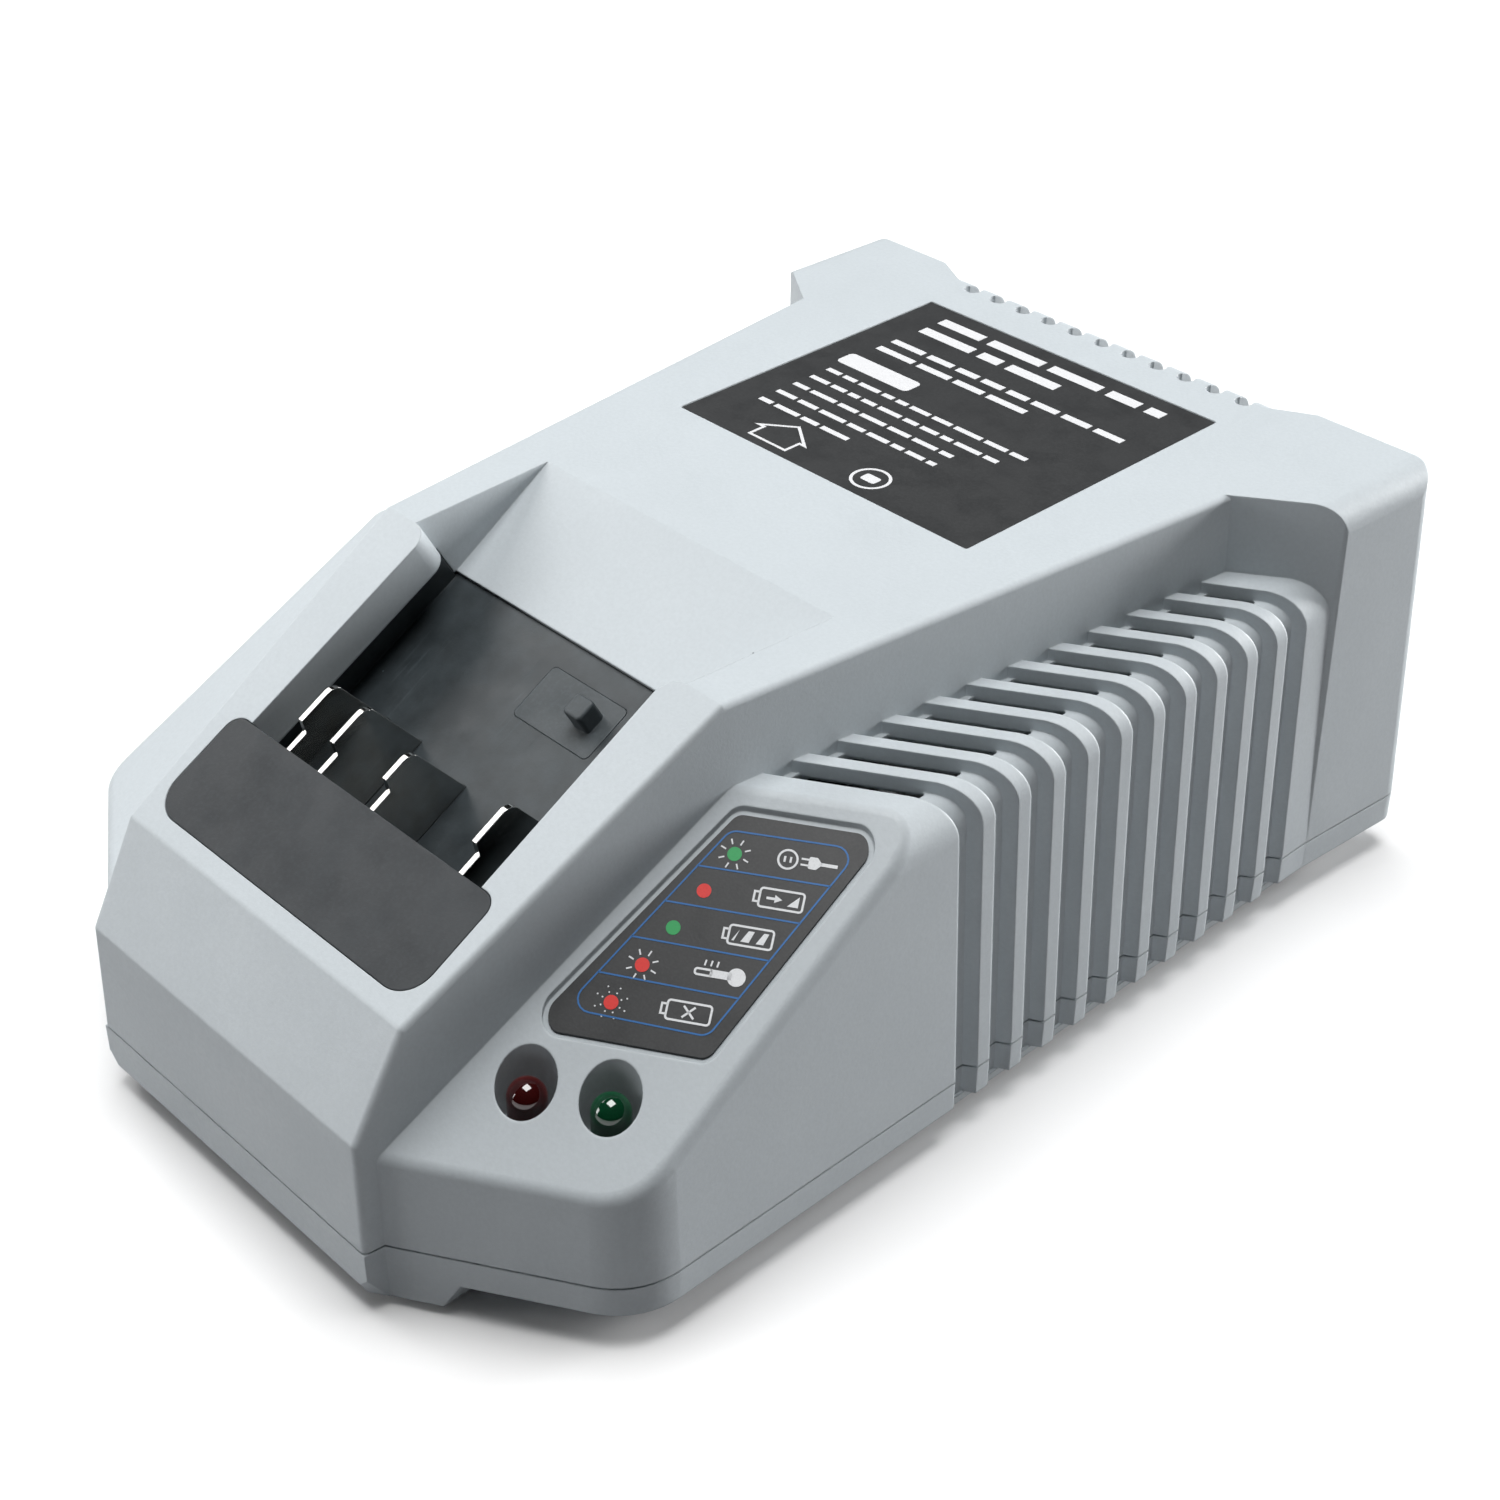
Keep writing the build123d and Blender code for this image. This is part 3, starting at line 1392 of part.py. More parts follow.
os.makedirs("parts", exist_ok=True)
middle = lower_outline().bounding_box().center()
to_row_frame = Pos(-middle.X, -middle.Y, 0)
print("row frame: shape moved by", round(-middle.X, 3), round(-middle.Y, 3))
for name, make in pieces.items():
    export_step(to_row_frame * make(), "parts/" + name + ".step")
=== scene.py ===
import json
import math

import bpy
import numpy as np
from mathutils import Matrix, Vector


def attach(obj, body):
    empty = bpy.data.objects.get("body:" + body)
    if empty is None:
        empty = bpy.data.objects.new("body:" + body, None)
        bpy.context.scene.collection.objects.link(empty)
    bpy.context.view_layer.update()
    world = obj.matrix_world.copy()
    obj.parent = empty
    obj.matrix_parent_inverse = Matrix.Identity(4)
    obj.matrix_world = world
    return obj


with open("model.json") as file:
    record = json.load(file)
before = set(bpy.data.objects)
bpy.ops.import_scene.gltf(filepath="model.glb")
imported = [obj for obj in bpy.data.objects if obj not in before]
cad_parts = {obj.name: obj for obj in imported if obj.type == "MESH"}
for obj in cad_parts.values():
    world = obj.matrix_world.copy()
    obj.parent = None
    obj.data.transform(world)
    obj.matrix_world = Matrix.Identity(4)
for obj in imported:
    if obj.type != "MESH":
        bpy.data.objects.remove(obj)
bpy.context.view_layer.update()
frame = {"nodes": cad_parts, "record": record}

MM = 0.001
HOUSING = "housing"
EDGE_FLAT = 0.99            # cosine between rounded and true normal where a face counts as flat
EDGE_SHARP = 0.80           # and where it counts as an edge
BEVEL_SAMPLES = 4

# ---------------------------------------------------------------- camera
LENS = 60.12                # millimetres
SENSOR_WIDTH = 36.0         # millimetres
NEAREST = 0.01              # metres from the camera, where its picture starts
CAMERA_AT = Vector((207.549, -196.75, 227.25)) * MM
CAMERA_TURN = math.radians(46.162)
CAMERA_DROP = math.radians(34.699)
CAMERA_ROLL = math.radians(0.472)

# ---------------------------------------------------------------- status panel and its print, millimetres
ROW_SHIFT = Vector((-2.261, -84.85, 0.0))     # from the bay's centre line to the middle of the housing
PANEL_TOP = Vector((29.5, 52.6, 53.7))        # a point of the crease above the sloping panel
PANEL_SWEEP = 0.62
PANEL_RISE = 0.617
LABEL_TOP = -0.30           # face of the status label, under the panel
INK = 0.045                 # how far the print stands out
FIELD_CORNERS = [(5.2, -5.3), (20.9, -5.1), (7.9, -30.2), (-9.5, -29.8)]
FIELD_ROUND = 1.7
FIELD_ROWS = 5
FIRST_LAMP = (6.3, -8.1)    # lamp mark of the first row
FIRST_SIGN = (15.6, -7.7)   # middle of the sign in the first row
ROW_STEP = (-2.63, -5.03)   # from one row to the next
LINE = 0.26                 # width of the signs' lines
FRAME_LINE = LINE * 0.8     # width of the blue frame's lines
LAMP_MARK = 0.88            # radius of a lamp mark
RAY_START = 1.25            # from a mark's middle to the near and far end of its rays
RAY_END = 1.95
INK_SUNK = 0.2              # share of the ink's thickness that lies under the face

# ---------------------------------------------------------------- rating label, millimetres
RATING_TOP = 65.30          # face of the rating label
RATING_INK = 0.04
RULES = (                   # each row of rules: y, left end, right end, height
    (149.6, -21.5, 21.0, 2.0),
    (145.4, -21.5, 5.0, 2.0),
    (139.4, -21.8, 22.0, 1.3),
    (136.2, -21.8, 9.0, 1.3),
    (125.6, -21.8, 16.5, 0.95),
    (122.2, -21.8, 15.4, 0.95),
    (118.8, -21.8, 10.5, 0.95),
    (115.4, -21.8, 9.0, 0.95),
    (112.0, -21.8, -4.0, 0.95),
)
RULE_LENGTHS = (2.0, 5.5)   # shortest and longest rule, in heights of its row
RULE_GAP = 0.75             # between two rules, in heights of their row
EMPTY_FIELD = (-16.0, 130.2)    # middle of the empty rounded field
RING = (5.7, 106.2)         # middle of the ring
RATING_LINE = 0.45          # width of the house's and the ring's lines


def linear(red, green, blue):
    """Linear colour with an alpha of 1 from three display values of 0 to 255."""
    values = []
    for value in (red, green, blue):
        level = value / 255
        values.append(level / 12.92 if level <= 0.04045 else ((level + 0.055) / 1.055) ** 2.4)
    return (*values, 1.0)


# ================================================================ node materials

class Finish:
    """A node material in the object's own coordinates, built up in layers of colour, roughness and relief."""

    def __init__(self, name, colour, roughness, metallic=0.0):
        self.material = bpy.data.materials.new(name)
        self.material.use_nodes = True
        self.tree = self.material.node_tree
        self.shader = self.tree.nodes["Principled BSDF"]
        self.set("Metallic", metallic)
        self.place = self.node("ShaderNodeTexCoord").outputs["Object"]
        self.colour = colour
        self.roughness = roughness
        self.normal = None

    def node(self, kind, **settings):
        made = self.tree.nodes.new(kind)
        for key, value in settings.items():
            setattr(made, key, value)
        return made

    def feed(self, socket, value):
        """Link a socket to another one, or give it a constant."""
        if isinstance(value, bpy.types.NodeSocket):
            self.tree.links.new(value, socket)
        else:
            socket.default_value = value

    def set(self, name, value):
        self.feed(self.shader.inputs[name], value)

    def stretched(self, x, y, z):
        """Object coordinates scaled along each axis."""
        mapping = self.node("ShaderNodeMapping")
        self.feed(mapping.inputs["Vector"], self.place)
        mapping.inputs["Scale"].default_value = (x, y, z)
        return mapping.outputs["Vector"]

    def noise(self, size, detail=2.0, roughness=0.5, where=None):
        """Cloudy noise whose features are about the given size in millimetres."""
        made = self.node("ShaderNodeTexNoise")
        self.feed(made.inputs["Vector"], where or self.place)
        made.inputs["Scale"].default_value = 1 / (size * MM)
        made.inputs["Detail"].default_value = detail
        made.inputs["Roughness"].default_value = roughness
        return made.outputs["Fac"]

    def cells(self, size, feature="F1"):
        """Distance to the nearest of scattered points, about one in each cell of the given size."""
        made = self.node("ShaderNodeTexVoronoi", feature=feature)
        self.feed(made.inputs["Vector"], self.place)
        made.inputs["Scale"].default_value = 1 / (size * MM)
        return made.outputs["Distance"]

    def bands(self, pitch, axis, distortion=0.0):
        """Straight waves with the given pitch in millimetres."""
        made = self.node("ShaderNodeTexWave", wave_type="BANDS", bands_direction=axis)
        self.feed(made.inputs["Vector"], self.place)
        made.inputs["Scale"].default_value = math.pi / (10 * pitch * MM)
        made.inputs["Distortion"].default_value = distortion
        return made.outputs["Fac"]

    def span(self, value, low, high, to_low=0.0, to_high=1.0):
        """Value stretched from low..high to the new range, and held inside it."""
        made = self.node("ShaderNodeMapRange", clamp=True)
        self.feed(made.inputs["Value"], value)
        made.inputs["From Min"].default_value = low
        made.inputs["From Max"].default_value = high
        made.inputs["To Min"].default_value = to_low
        made.inputs["To Max"].default_value = to_high
        return made.outputs["Result"]

    def times(self, a, b):
        made = self.node("ShaderNodeMath", operation="MULTIPLY")
        self.feed(made.inputs[0], a)
        self.feed(made.inputs[1], b)
        return made.outputs[0]

    def edges(self, radius):
        """1 on sharp edges, within about the radius in millimetres, and 0 on flat places."""
        round_edge = self.node("ShaderNodeBevel", samples=BEVEL_SAMPLES)
        round_edge.inputs["Radius"].default_value = radius * MM
        true_face = self.node("ShaderNodeNewGeometry")
        dot = self.node("ShaderNodeVectorMath", operation="DOT_PRODUCT")
        self.feed(dot.inputs[0], round_edge.outputs["Normal"])
        self.feed(dot.inputs[1], true_face.outputs["Normal"])
        return self.span(dot.outputs["Value"], EDGE_FLAT, EDGE_SHARP)

    def soften(self, radius):
        """Rounded light on sharp edges, as a moulding's small radii give."""
        round_edge = self.node("ShaderNodeBevel", samples=BEVEL_SAMPLES)
        round_edge.inputs["Radius"].default_value = radius * MM
        self.normal = round_edge.outputs["Normal"]

    def tint(self, mask, colour):
        mix = self.node("ShaderNodeMix", data_type="RGBA")
        self.feed(mix.inputs[0], mask)
        self.feed(mix.inputs[6], self.colour)
        self.feed(mix.inputs[7], colour)
        self.colour = mix.outputs[2]

    def shade(self, mask, roughness):
        mix = self.node("ShaderNodeMix", data_type="FLOAT")
        self.feed(mix.inputs[0], mask)
        self.feed(mix.inputs[2], self.roughness)
        self.feed(mix.inputs[3], roughness)
        self.roughness = mix.outputs[0]

    def relief(self, height, depth, strength=1.0):
        """Bump of the given depth in millimetres."""
        bump = self.node("ShaderNodeBump")
        self.feed(bump.inputs["Height"], height)
        bump.inputs["Distance"].default_value = depth * MM
        bump.inputs["Strength"].default_value = strength
        if self.normal:
            self.feed(bump.inputs["Normal"], self.normal)
        self.normal = bump.outputs["Normal"]

    def done(self):
        self.set("Base Color", self.colour)
        self.set("Roughness", self.roughness)
        if self.normal:
            self.set("Normal", self.normal)
        return self.material


def scaled(colour, factor):
    return (*(min(1.0, channel * factor) for channel in colour[:3]), 1.0)


def dust(finish, spacing, size, colour):
    """Scattered specks of the given size, one in each cell of the spacing."""
    finish.tint(finish.span(finish.cells(spacing), size / spacing, 0.5 * size / spacing), colour)


def shell_plastic():
    """Pale cool grey moulding with a fine spark texture, soft mottling and a patchy painted highlight along
    its sharp edges.
    """
    base = linear(188, 195, 199)
    f = Finish("shell_grey", base, 0.50)
    f.tint(f.span(f.noise(28, 3), 0.35, 0.70, 0.0, 0.5), scaled(base, 0.93))
    f.tint(f.span(f.noise(0.55, 2), 0.35, 0.65, 0.0, 0.45), scaled(base, 0.90))
    # painted highlight: patchy lighter colour along sharp edges, standing in for their soft highlights
    f.tint(f.times(f.edges(0.5), f.span(f.noise(6, 4), 0.40, 0.62)), scaled(base, 1.10))
    dust(f, 13.0, 0.22, scaled(base, 0.35))
    f.shade(f.span(f.noise(9, 4), 0.42, 0.68), 0.40)
    f.shade(f.span(f.noise(0.7, 2), 0.40, 0.70), 0.60)
    f.soften(0.35)
    f.relief(f.noise(0.42, 3, 0.6), 0.030, 0.55)
    f.relief(f.noise(14, 2), 0.15, 0.25)
    return f.done()


def dark_plastic(name, colour, roughness, grain=0.35):
    """Dark moulding with a fine grain, worn edges, dull patches and dust."""
    f = Finish(name, colour, roughness)
    f.tint(f.span(f.noise(10, 4), 0.40, 0.70, 0.0, 0.7), scaled(colour, 1.35))
    f.tint(f.span(f.noise(grain * 1.6, 2), 0.45, 0.70, 0.0, 0.5), scaled(colour, 1.5))
    f.tint(f.times(f.edges(0.35), f.span(f.noise(3, 3), 0.40, 0.60)), scaled(colour, 2.4))
    dust(f, 7.0, 0.16, scaled(colour, 5.0))
    f.shade(f.span(f.noise(6, 4), 0.40, 0.65), roughness + 0.14)
    f.soften(0.25)
    f.relief(f.noise(grain, 2, 0.6), 0.022, 0.6)
    return f.done()


def carrier_plastic():
    """Bay tray: dark, with scuffs along the slope and pale dust in its corners."""
    base = linear(44, 50, 53)
    f = Finish("carrier_dark", base, 0.42)
    f.tint(f.span(f.noise(7, 5, 0.6), 0.42, 0.72, 0.0, 0.9), scaled(base, 1.75))
    scuffs = f.span(f.noise(0.5, 2, where=f.stretched(1.0, 0.05, 0.09)), 0.60, 0.78, 0.0, 0.6)
    f.tint(f.times(scuffs, f.span(f.noise(11, 2), 0.45, 0.60)), scaled(base, 2.4))
    dust(f, 5.0, 0.18, scaled(base, 6.0))
    f.shade(scuffs, 0.62)
    f.shade(f.span(f.noise(4, 4), 0.45, 0.70), 0.34)
    f.soften(0.25)
    f.relief(f.noise(0.38, 2, 0.6), 0.020, 0.5)
    f.relief(scuffs, 0.010, 0.5)
    return f.done()


def contact_metal():
    """Bright nickel plate that mirrors its dark surroundings, with rolling lines and rub marks."""
    base = (0.56, 0.56, 0.55, 1.0)
    f = Finish("contact_nickel", base, 0.09, 1.0)
    f.tint(f.span(f.noise(3.0, 4), 0.45, 0.80, 0.0, 0.7), (0.46, 0.43, 0.38, 1.0))
    lines = f.noise(0.25, 2, where=f.stretched(1.0, 0.06, 1.0))
    f.shade(f.span(lines, 0.45, 0.75, 0.0, 0.6), 0.22)
    f.tint(f.edges(0.15), (0.86, 0.86, 0.84, 1.0))
    f.shade(f.edges(0.15), 0.25)
    f.soften(0.15)
    f.relief(lines, 0.004, 0.5)
    return f.done()


def lens(name, deep, bright):
    """Tinted epoxy lens: glossy, deep in the middle, with a paler rim where light leaks round it."""
    f = Finish(name, deep, 0.07)
    facing = f.node("ShaderNodeLayerWeight")
    facing.inputs["Blend"].default_value = 0.35
    f.tint(f.span(facing.outputs["Facing"], 0.25, 0.95, 0.0, 0.75), bright)
    f.tint(f.span(f.noise(1.1, 3), 0.45, 0.70, 0.0, 0.35), scaled(deep, 0.5))
    f.shade(f.span(f.noise(0.6, 3), 0.55, 0.75), 0.16)
    f.relief(f.noise(2.2, 2), 0.02, 0.4)
    f.set("Transmission Weight", 0.25)
    f.set("IOR", 1.52)
    f.set("Coat Weight", 1.0)
    f.set("Coat Roughness", 0.03)
    return f.done()


def label_film(name, colour):
    """Printed polyester film with a fine stipple and a few scuffs."""
    f = Finish(name, colour, 0.46)
    f.tint(f.span(f.noise(0.35, 2), 0.40, 0.70, 0.0, 0.6), scaled(colour, 1.45))
    f.tint(f.span(f.noise(12, 3), 0.40, 0.70, 0.0, 0.5), scaled(colour, 1.2))
    dust(f, 9.0, 0.16, scaled(colour, 4.5))
    f.shade(f.span(f.noise(5, 4), 0.45, 0.70), 0.36)
    f.relief(f.noise(0.28, 2), 0.012, 0.6)
    return f.done()


def ink(name, colour):
    """Screen print: even colour with a faint mesh and thin places."""
    f = Finish(name, colour, 0.42)
    f.tint(f.span(f.noise(0.22, 2), 0.50, 0.75, 0.0, 0.4), scaled(colour, 0.72))
    f.shade(f.span(f.noise(1.0, 2), 0.40, 0.70), 0.55)
    f.relief(f.noise(0.18, 1), 0.008, 0.4)
    return f.done()


def rubber(name, colour):
    """Matt rubber with fine pores, a moulding bloom and dust."""
    f = Finish(name, colour, 0.78)
    f.tint(f.span(f.noise(2.5, 4), 0.40, 0.70, 0.0, 0.6), scaled(colour, 1.9))
    f.tint(f.edges(0.3), scaled(colour, 2.2))
    dust(f, 2.2, 0.12, scaled(colour, 7.0))
    f.shade(f.span(f.noise(1.2, 3), 0.40, 0.70), 0.62)
    f.relief(f.cells(0.28), 0.018, 0.5)
    return f.done()


def bare_metal(name, colour, roughness, stretch):
    """Metal with drawing or brushing lines along one axis, dull spots and bright edges."""
    f = Finish(name, colour, roughness, 1.0)
    lines = f.noise(0.3, 3, where=f.stretched(*stretch))
    f.tint(f.span(lines, 0.40, 0.70, 0.0, 0.5), scaled(colour, 0.72))
    f.tint(f.span(f.noise(3.5, 4), 0.50, 0.75, 0.0, 0.5), scaled(colour, 0.60))
    f.shade(f.span(lines, 0.40, 0.70), roughness + 0.15)
    f.shade(f.edges(0.2), max(0.1, roughness - 0.12))
    f.soften(0.15)
    f.relief(lines, 0.008, 0.6)
    return f.done()


def ferrite():
    """Sintered core: near black, coarse grain, a ground sheen and small chips on its edges."""
    base = (0.045, 0.045, 0.050, 1.0)
    f = Finish("ferrite", base, 0.55)
    f.tint(f.span(f.noise(0.4, 4), 0.42, 0.66), scaled(base, 1.9))
    f.tint(f.times(f.edges(0.4), f.span(f.noise(1.0, 3), 0.50, 0.60)), scaled(base, 3.2))
    f.shade(f.span(f.noise(0.8, 3), 0.40, 0.70), 0.38)
    f.relief(f.noise(0.3, 4), 0.040, 0.6)
    return f.done()


def board_laminate():
    """Green solder mask over copper tracks, with a fine glass weave."""
    base = (0.022, 0.115, 0.040, 1.0)
    f = Finish("board_green", base, 0.32)
    tracks = f.span(f.cells(4.2, "DISTANCE_TO_EDGE"), 0.10, 0.06)
    f.tint(tracks, (0.040, 0.200, 0.060, 1.0))
    f.tint(f.span(f.cells(2.8), 0.13, 0.09), (0.55, 0.55, 0.52, 1.0))
    f.tint(f.span(f.noise(12, 3), 0.40, 0.70, 0.0, 0.4), scaled(base, 0.7))
    f.shade(f.span(f.noise(2.5, 3), 0.40, 0.70), 0.42)
    f.relief(tracks, 0.030, 0.8)
    f.relief(f.bands(0.45, "X"), 0.006, 0.5)
    f.relief(f.bands(0.45, "Y"), 0.006, 0.5)
    return f.done()


def winding_tape():
    """Yellow polyester tape with overlapping turns."""
    base = (0.70, 0.46, 0.035, 1.0)
    f = Finish("tape_yellow", base, 0.34)
    turns = f.bands(5.6, "Y", 0.4)
    f.tint(f.span(turns, 0.75, 0.95, 0.0, 0.6), scaled(base, 0.55))
    f.tint(f.span(f.noise(2.2, 4), 0.45, 0.70, 0.0, 0.5), scaled(base, 1.2))
    f.shade(f.span(f.noise(1.5, 3), 0.40, 0.70), 0.22)
    f.relief(turns, 0.08, 0.6)
    return f.done()


def enamelled_wire():
    """Copper wire under clear red-brown enamel."""
    base = (0.58, 0.22, 0.075, 1.0)
    f = Finish("copper_wire", base, 0.26, 0.85)
    f.tint(f.span(f.noise(1.4, 3), 0.40, 0.70, 0.0, 0.7), (0.36, 0.10, 0.030, 1.0))
    f.shade(f.span(f.noise(0.5, 3), 0.45, 0.70), 0.40)
    f.relief(f.noise(0.5, 2), 0.02, 0.5)
    f.set("Coat Weight", 0.6)
    return f.done()


def dipped_case():
    """Yellow capacitor box: glossy epoxy with small sinks and a rubbed print side."""
    base = (0.66, 0.45, 0.050, 1.0)
    f = Finish("capacitor_yellow", base, 0.25)
    f.tint(f.span(f.noise(4, 4), 0.40, 0.70, 0.0, 0.5), scaled(base, 0.75))
    f.tint(f.times(f.edges(0.3), f.span(f.noise(2, 3), 0.45, 0.65)), scaled(base, 1.25))
    f.shade(f.span(f.noise(1.8, 3), 0.40, 0.70), 0.38)
    f.soften(0.3)
    f.relief(f.noise(1.6, 3), 0.03, 0.5)
    return f.done()


def fuse_glass():
    """Clear tube with faint drawing lines."""
    f = Finish("fuse_glass", (0.86, 0.90, 0.90, 1.0), 0.05)
    f.tint(f.span(f.noise(2.0, 3), 0.50, 0.75, 0.0, 0.4), (0.60, 0.64, 0.64, 1.0))
    f.shade(f.span(f.noise(0.4, 2, where=f.stretched(0.1, 1.0, 1.0)), 0.50, 0.75), 0.18)
    f.relief(f.noise(0.6, 2, where=f.stretched(0.1, 1.0, 1.0)), 0.01, 0.4)
    f.set("Transmission Weight", 0.7)
    return f.done()


def shrink_sleeve(name, colour, stripe):
    """Shrunk sleeve of a can capacitor: glossy, faintly wrinkled, with a pale polarity stripe."""
    f = Finish(name, colour, 0.24)
    f.tint(f.span(f.bands(9.0, "X"), 0.93, 0.97, 0.0, 0.8), stripe)
    f.tint(f.span(f.noise(2.5, 3), 0.45, 0.70, 0.0, 0.5), scaled(colour, 1.6))
    f.shade(f.span(f.noise(1.4, 3), 0.40, 0.70), 0.36)
    f.relief(f.noise(1.8, 3, where=f.stretched(1.0, 1.0, 0.3)), 0.06, 0.5)
    return f.done()


def wire_jacket():
    """Soft red silicone jacket with a dull bloom."""
    base = (0.32, 0.020, 0.018, 1.0)
    f = Finish("wire_insulation", base, 0.48)
    f.tint(f.span(f.noise(2.0, 4), 0.42, 0.70, 0.0, 0.6), scaled(base, 1.5))
    f.shade(f.span(f.noise(1.0, 3), 0.40, 0.70), 0.62)
    f.relief(f.noise(0.4, 2), 0.02, 0.5)
    return f.done()


NODE_FINISHES = {
    "shell_grey": shell_plastic(),
    "carrier_dark": carrier_plastic(),
    "cover_dark": dark_plastic("cover_dark", linear(38, 42, 45), 0.52),
    "key_plastic": dark_plastic("key_plastic", linear(58, 64, 67), 0.44),
    "contact_nickel": contact_metal(),
    "led_red_lens": lens("led_red_lens", (0.045, 0.0008, 0.0008, 1.0), (0.30, 0.012, 0.010, 1.0)),
    "led_green_lens": lens("led_green_lens", (0.0006, 0.052, 0.018, 1.0), (0.006, 0.240, 0.085, 1.0)),
    "label_dark": label_film("label_dark", linear(48, 49, 50)),
    "foot_rubber": rubber("foot_rubber", (0.022, 0.022, 0.023, 1.0)),
    "gland_rubber": rubber("gland_rubber", (0.018, 0.018, 0.018, 1.0)),
    "screw_steel": bare_metal("screw_steel", (0.52, 0.52, 0.53, 1.0), 0.34, (1.0, 1.0, 0.3)),
    "clip_tin": bare_metal("clip_tin", (0.68, 0.67, 0.65, 1.0), 0.30, (0.2, 1.0, 1.0)),
    "sink_aluminium": bare_metal("sink_aluminium", (0.66, 0.66, 0.68, 1.0), 0.40, (1.0, 1.0, 0.05)),
    "board_green": board_laminate(),
    "ferrite": ferrite(),
    "bobbin_black": dark_plastic("bobbin_black", (0.024, 0.024, 0.026, 1.0), 0.45),
    "tape_yellow": winding_tape(),
    "copper_wire": enamelled_wire(),
    "capacitor_yellow": dipped_case(),
    "fuse_glass": fuse_glass(),
    "package_black": dark_plastic("package_black", (0.022, 0.022, 0.024, 1.0), 0.55, 0.22),
    "sleeve_black": shrink_sleeve("sleeve_black", (0.018, 0.018, 0.024, 1.0), (0.35, 0.35, 0.36, 1.0)),
    "sleeve_blue": shrink_sleeve("sleeve_blue", (0.020, 0.035, 0.190, 1.0), (0.50, 0.52, 0.56, 1.0)),
    "wire_insulation": wire_jacket(),
    "fan_black": dark_plastic("fan_black", (0.020, 0.020, 0.021, 1.0), 0.48),
}

for part in frame["record"]["subparts"]:
    for holder in frame["nodes"][part["node"]].material_slots:
        holder.material = NODE_FINISHES[part["material_slot"]]


# ================================================================ printed signs

class Print:
    """Thin closed plates of ink on a flat face: origin, two directions along the face, and its normal."""

    def __init__(self, origin, across, up, thickness):
        self.origin = origin
        self.across = across.normalized()
        self.up = up.normalized()
        self.normal = self.across.cross(self.up)
        self.thickness = thickness
        self.points = []
        self.faces = []

    def level(self, outline, height):
        """Places of a flat outline at a height over the face; returns their indices."""
        first = len(self.points)
        for a, b in outline:
            spot = self.origin + self.across * a + self.up * b + self.normal * height
            self.points.append((spot + ROW_SHIFT) * MM)
        return list(range(first, len(self.points)))

    def patch(self, outline):
        """Filled plate; the outline runs anticlockwise and bulges outwards."""
        low = self.level(outline, -INK_SUNK * self.thickness)
        high = self.level(outline, self.thickness)
        count = len(outline)
        self.faces.append(tuple(reversed(low)))
        self.faces.append(tuple(high))
        for i in range(count):
            j = (i + 1) % count
            self.faces.append((low[i], low[j], high[j], high[i]))

    def stroke(self, path, width, closed=False):
        """Line of even width along a path, mitred at its corners."""
        path = [Vector(p) for p in path]
        left, right = [], []
        count = len(path)
        for i, spot in enumerate(path):
            before = path[i - 1] if closed or i else spot - (path[1] - spot)
            after = path[(i + 1) % count] if closed or i < count - 1 else spot + (spot - path[i - 1])
            a = (spot - before).normalized()
            b = (after - spot).normalized()
            side = Vector((-(a + b).y, (a + b).x)).normalized()
            reach = width / 2 / max(0.3, side.dot(Vector((-a.y, a.x))))
            left.append(spot + side * reach)
            right.append(spot - side * reach)
        if not closed:
            self.patch([*right, *reversed(left)])
            return
        low, high = -INK_SUNK * self.thickness, self.thickness
        low_right, high_right = self.level(right, low), self.level(right, high)
        low_left, high_left = self.level(left, low), self.level(left, high)
        for i in range(count):
            j = (i + 1) % count
            self.faces.append((high_right[i], high_right[j], high_left[j], high_left[i]))
            self.faces.append((low_left[i], low_left[j], low_right[j], low_right[i]))
            self.faces.append((low_right[i], low_right[j], high_right[j], high_right[i]))
            self.faces.append((high_left[i], high_left[j], low_left[j], low_left[i]))

    def disc(self, middle, radius, steps=28):
        self.patch(circle(middle, radius, steps))

    def bar(self, start, end, width):
        self.stroke([start, end], width)

    def finish(self, name, finish, slot_name):
        mesh = bpy.data.meshes.new(name)
        mesh.from_pydata(self.points, [], self.faces)
        mesh.validate()
        piece = bpy.data.objects.new(name, mesh)
        bpy.context.scene.collection.objects.link(piece)
        mesh.materials.append(finish)
        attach(piece, HOUSING)


def circle(middle, radius, steps=28):
    """Points at angle t: middle + radius (cos t, sin t)."""
    angles = np.linspace(0, 2 * math.pi, steps, endpoint=False)
    return [(middle[0] + radius * math.cos(t), middle[1] + radius * math.sin(t)) for t in angles]


def rounded(corners, radius, steps=6):
    """Outline with each corner replaced by an arc of the given radius."""
    points = []
    count = len(corners)
    for i in range(count):
        here = Vector(corners[i])
        a = (Vector(corners[i - 1]) - here).normalized()
        b = (Vector(corners[(i + 1) % count]) - here).normalized()
        half = a.angle(b) / 2
        middle = here + (a + b).normalized() * (radius / math.sin(half))
        start = here + a * (radius / math.tan(half)) - middle
        end = here + b * (radius / math.tan(half)) - middle
        turn = math.atan2(start.x * end.y - start.y * end.x, start.dot(end))
        for k in range(steps + 1):
            angle = turn * k / steps
            arm = Vector((
                start.x * math.cos(angle) - start.y * math.sin(angle),
                start.x * math.sin(angle) + start.y * math.cos(angle),
            ))
            points.append(middle + arm)
    return points


def box_outline(middle, width, height):
    x, y = middle
    return [
        (x - width / 2, y - height / 2),
        (x + width / 2, y - height / 2),
        (x + width / 2, y + height / 2),
        (x - width / 2, y + height / 2),
    ]


def panel_print():
    normal = Vector((PANEL_RISE * PANEL_SWEEP, -PANEL_RISE, 1.0)).normalized()
    across = Vector((1.0, PANEL_SWEEP, 0.0)).normalized()
    return Print(PANEL_TOP + normal * LABEL_TOP, across, normal.cross(across), INK)


def along(a, b, share):
    return (a[0] + (b[0] - a[0]) * share, a[1] + (b[1] - a[1]) * share)


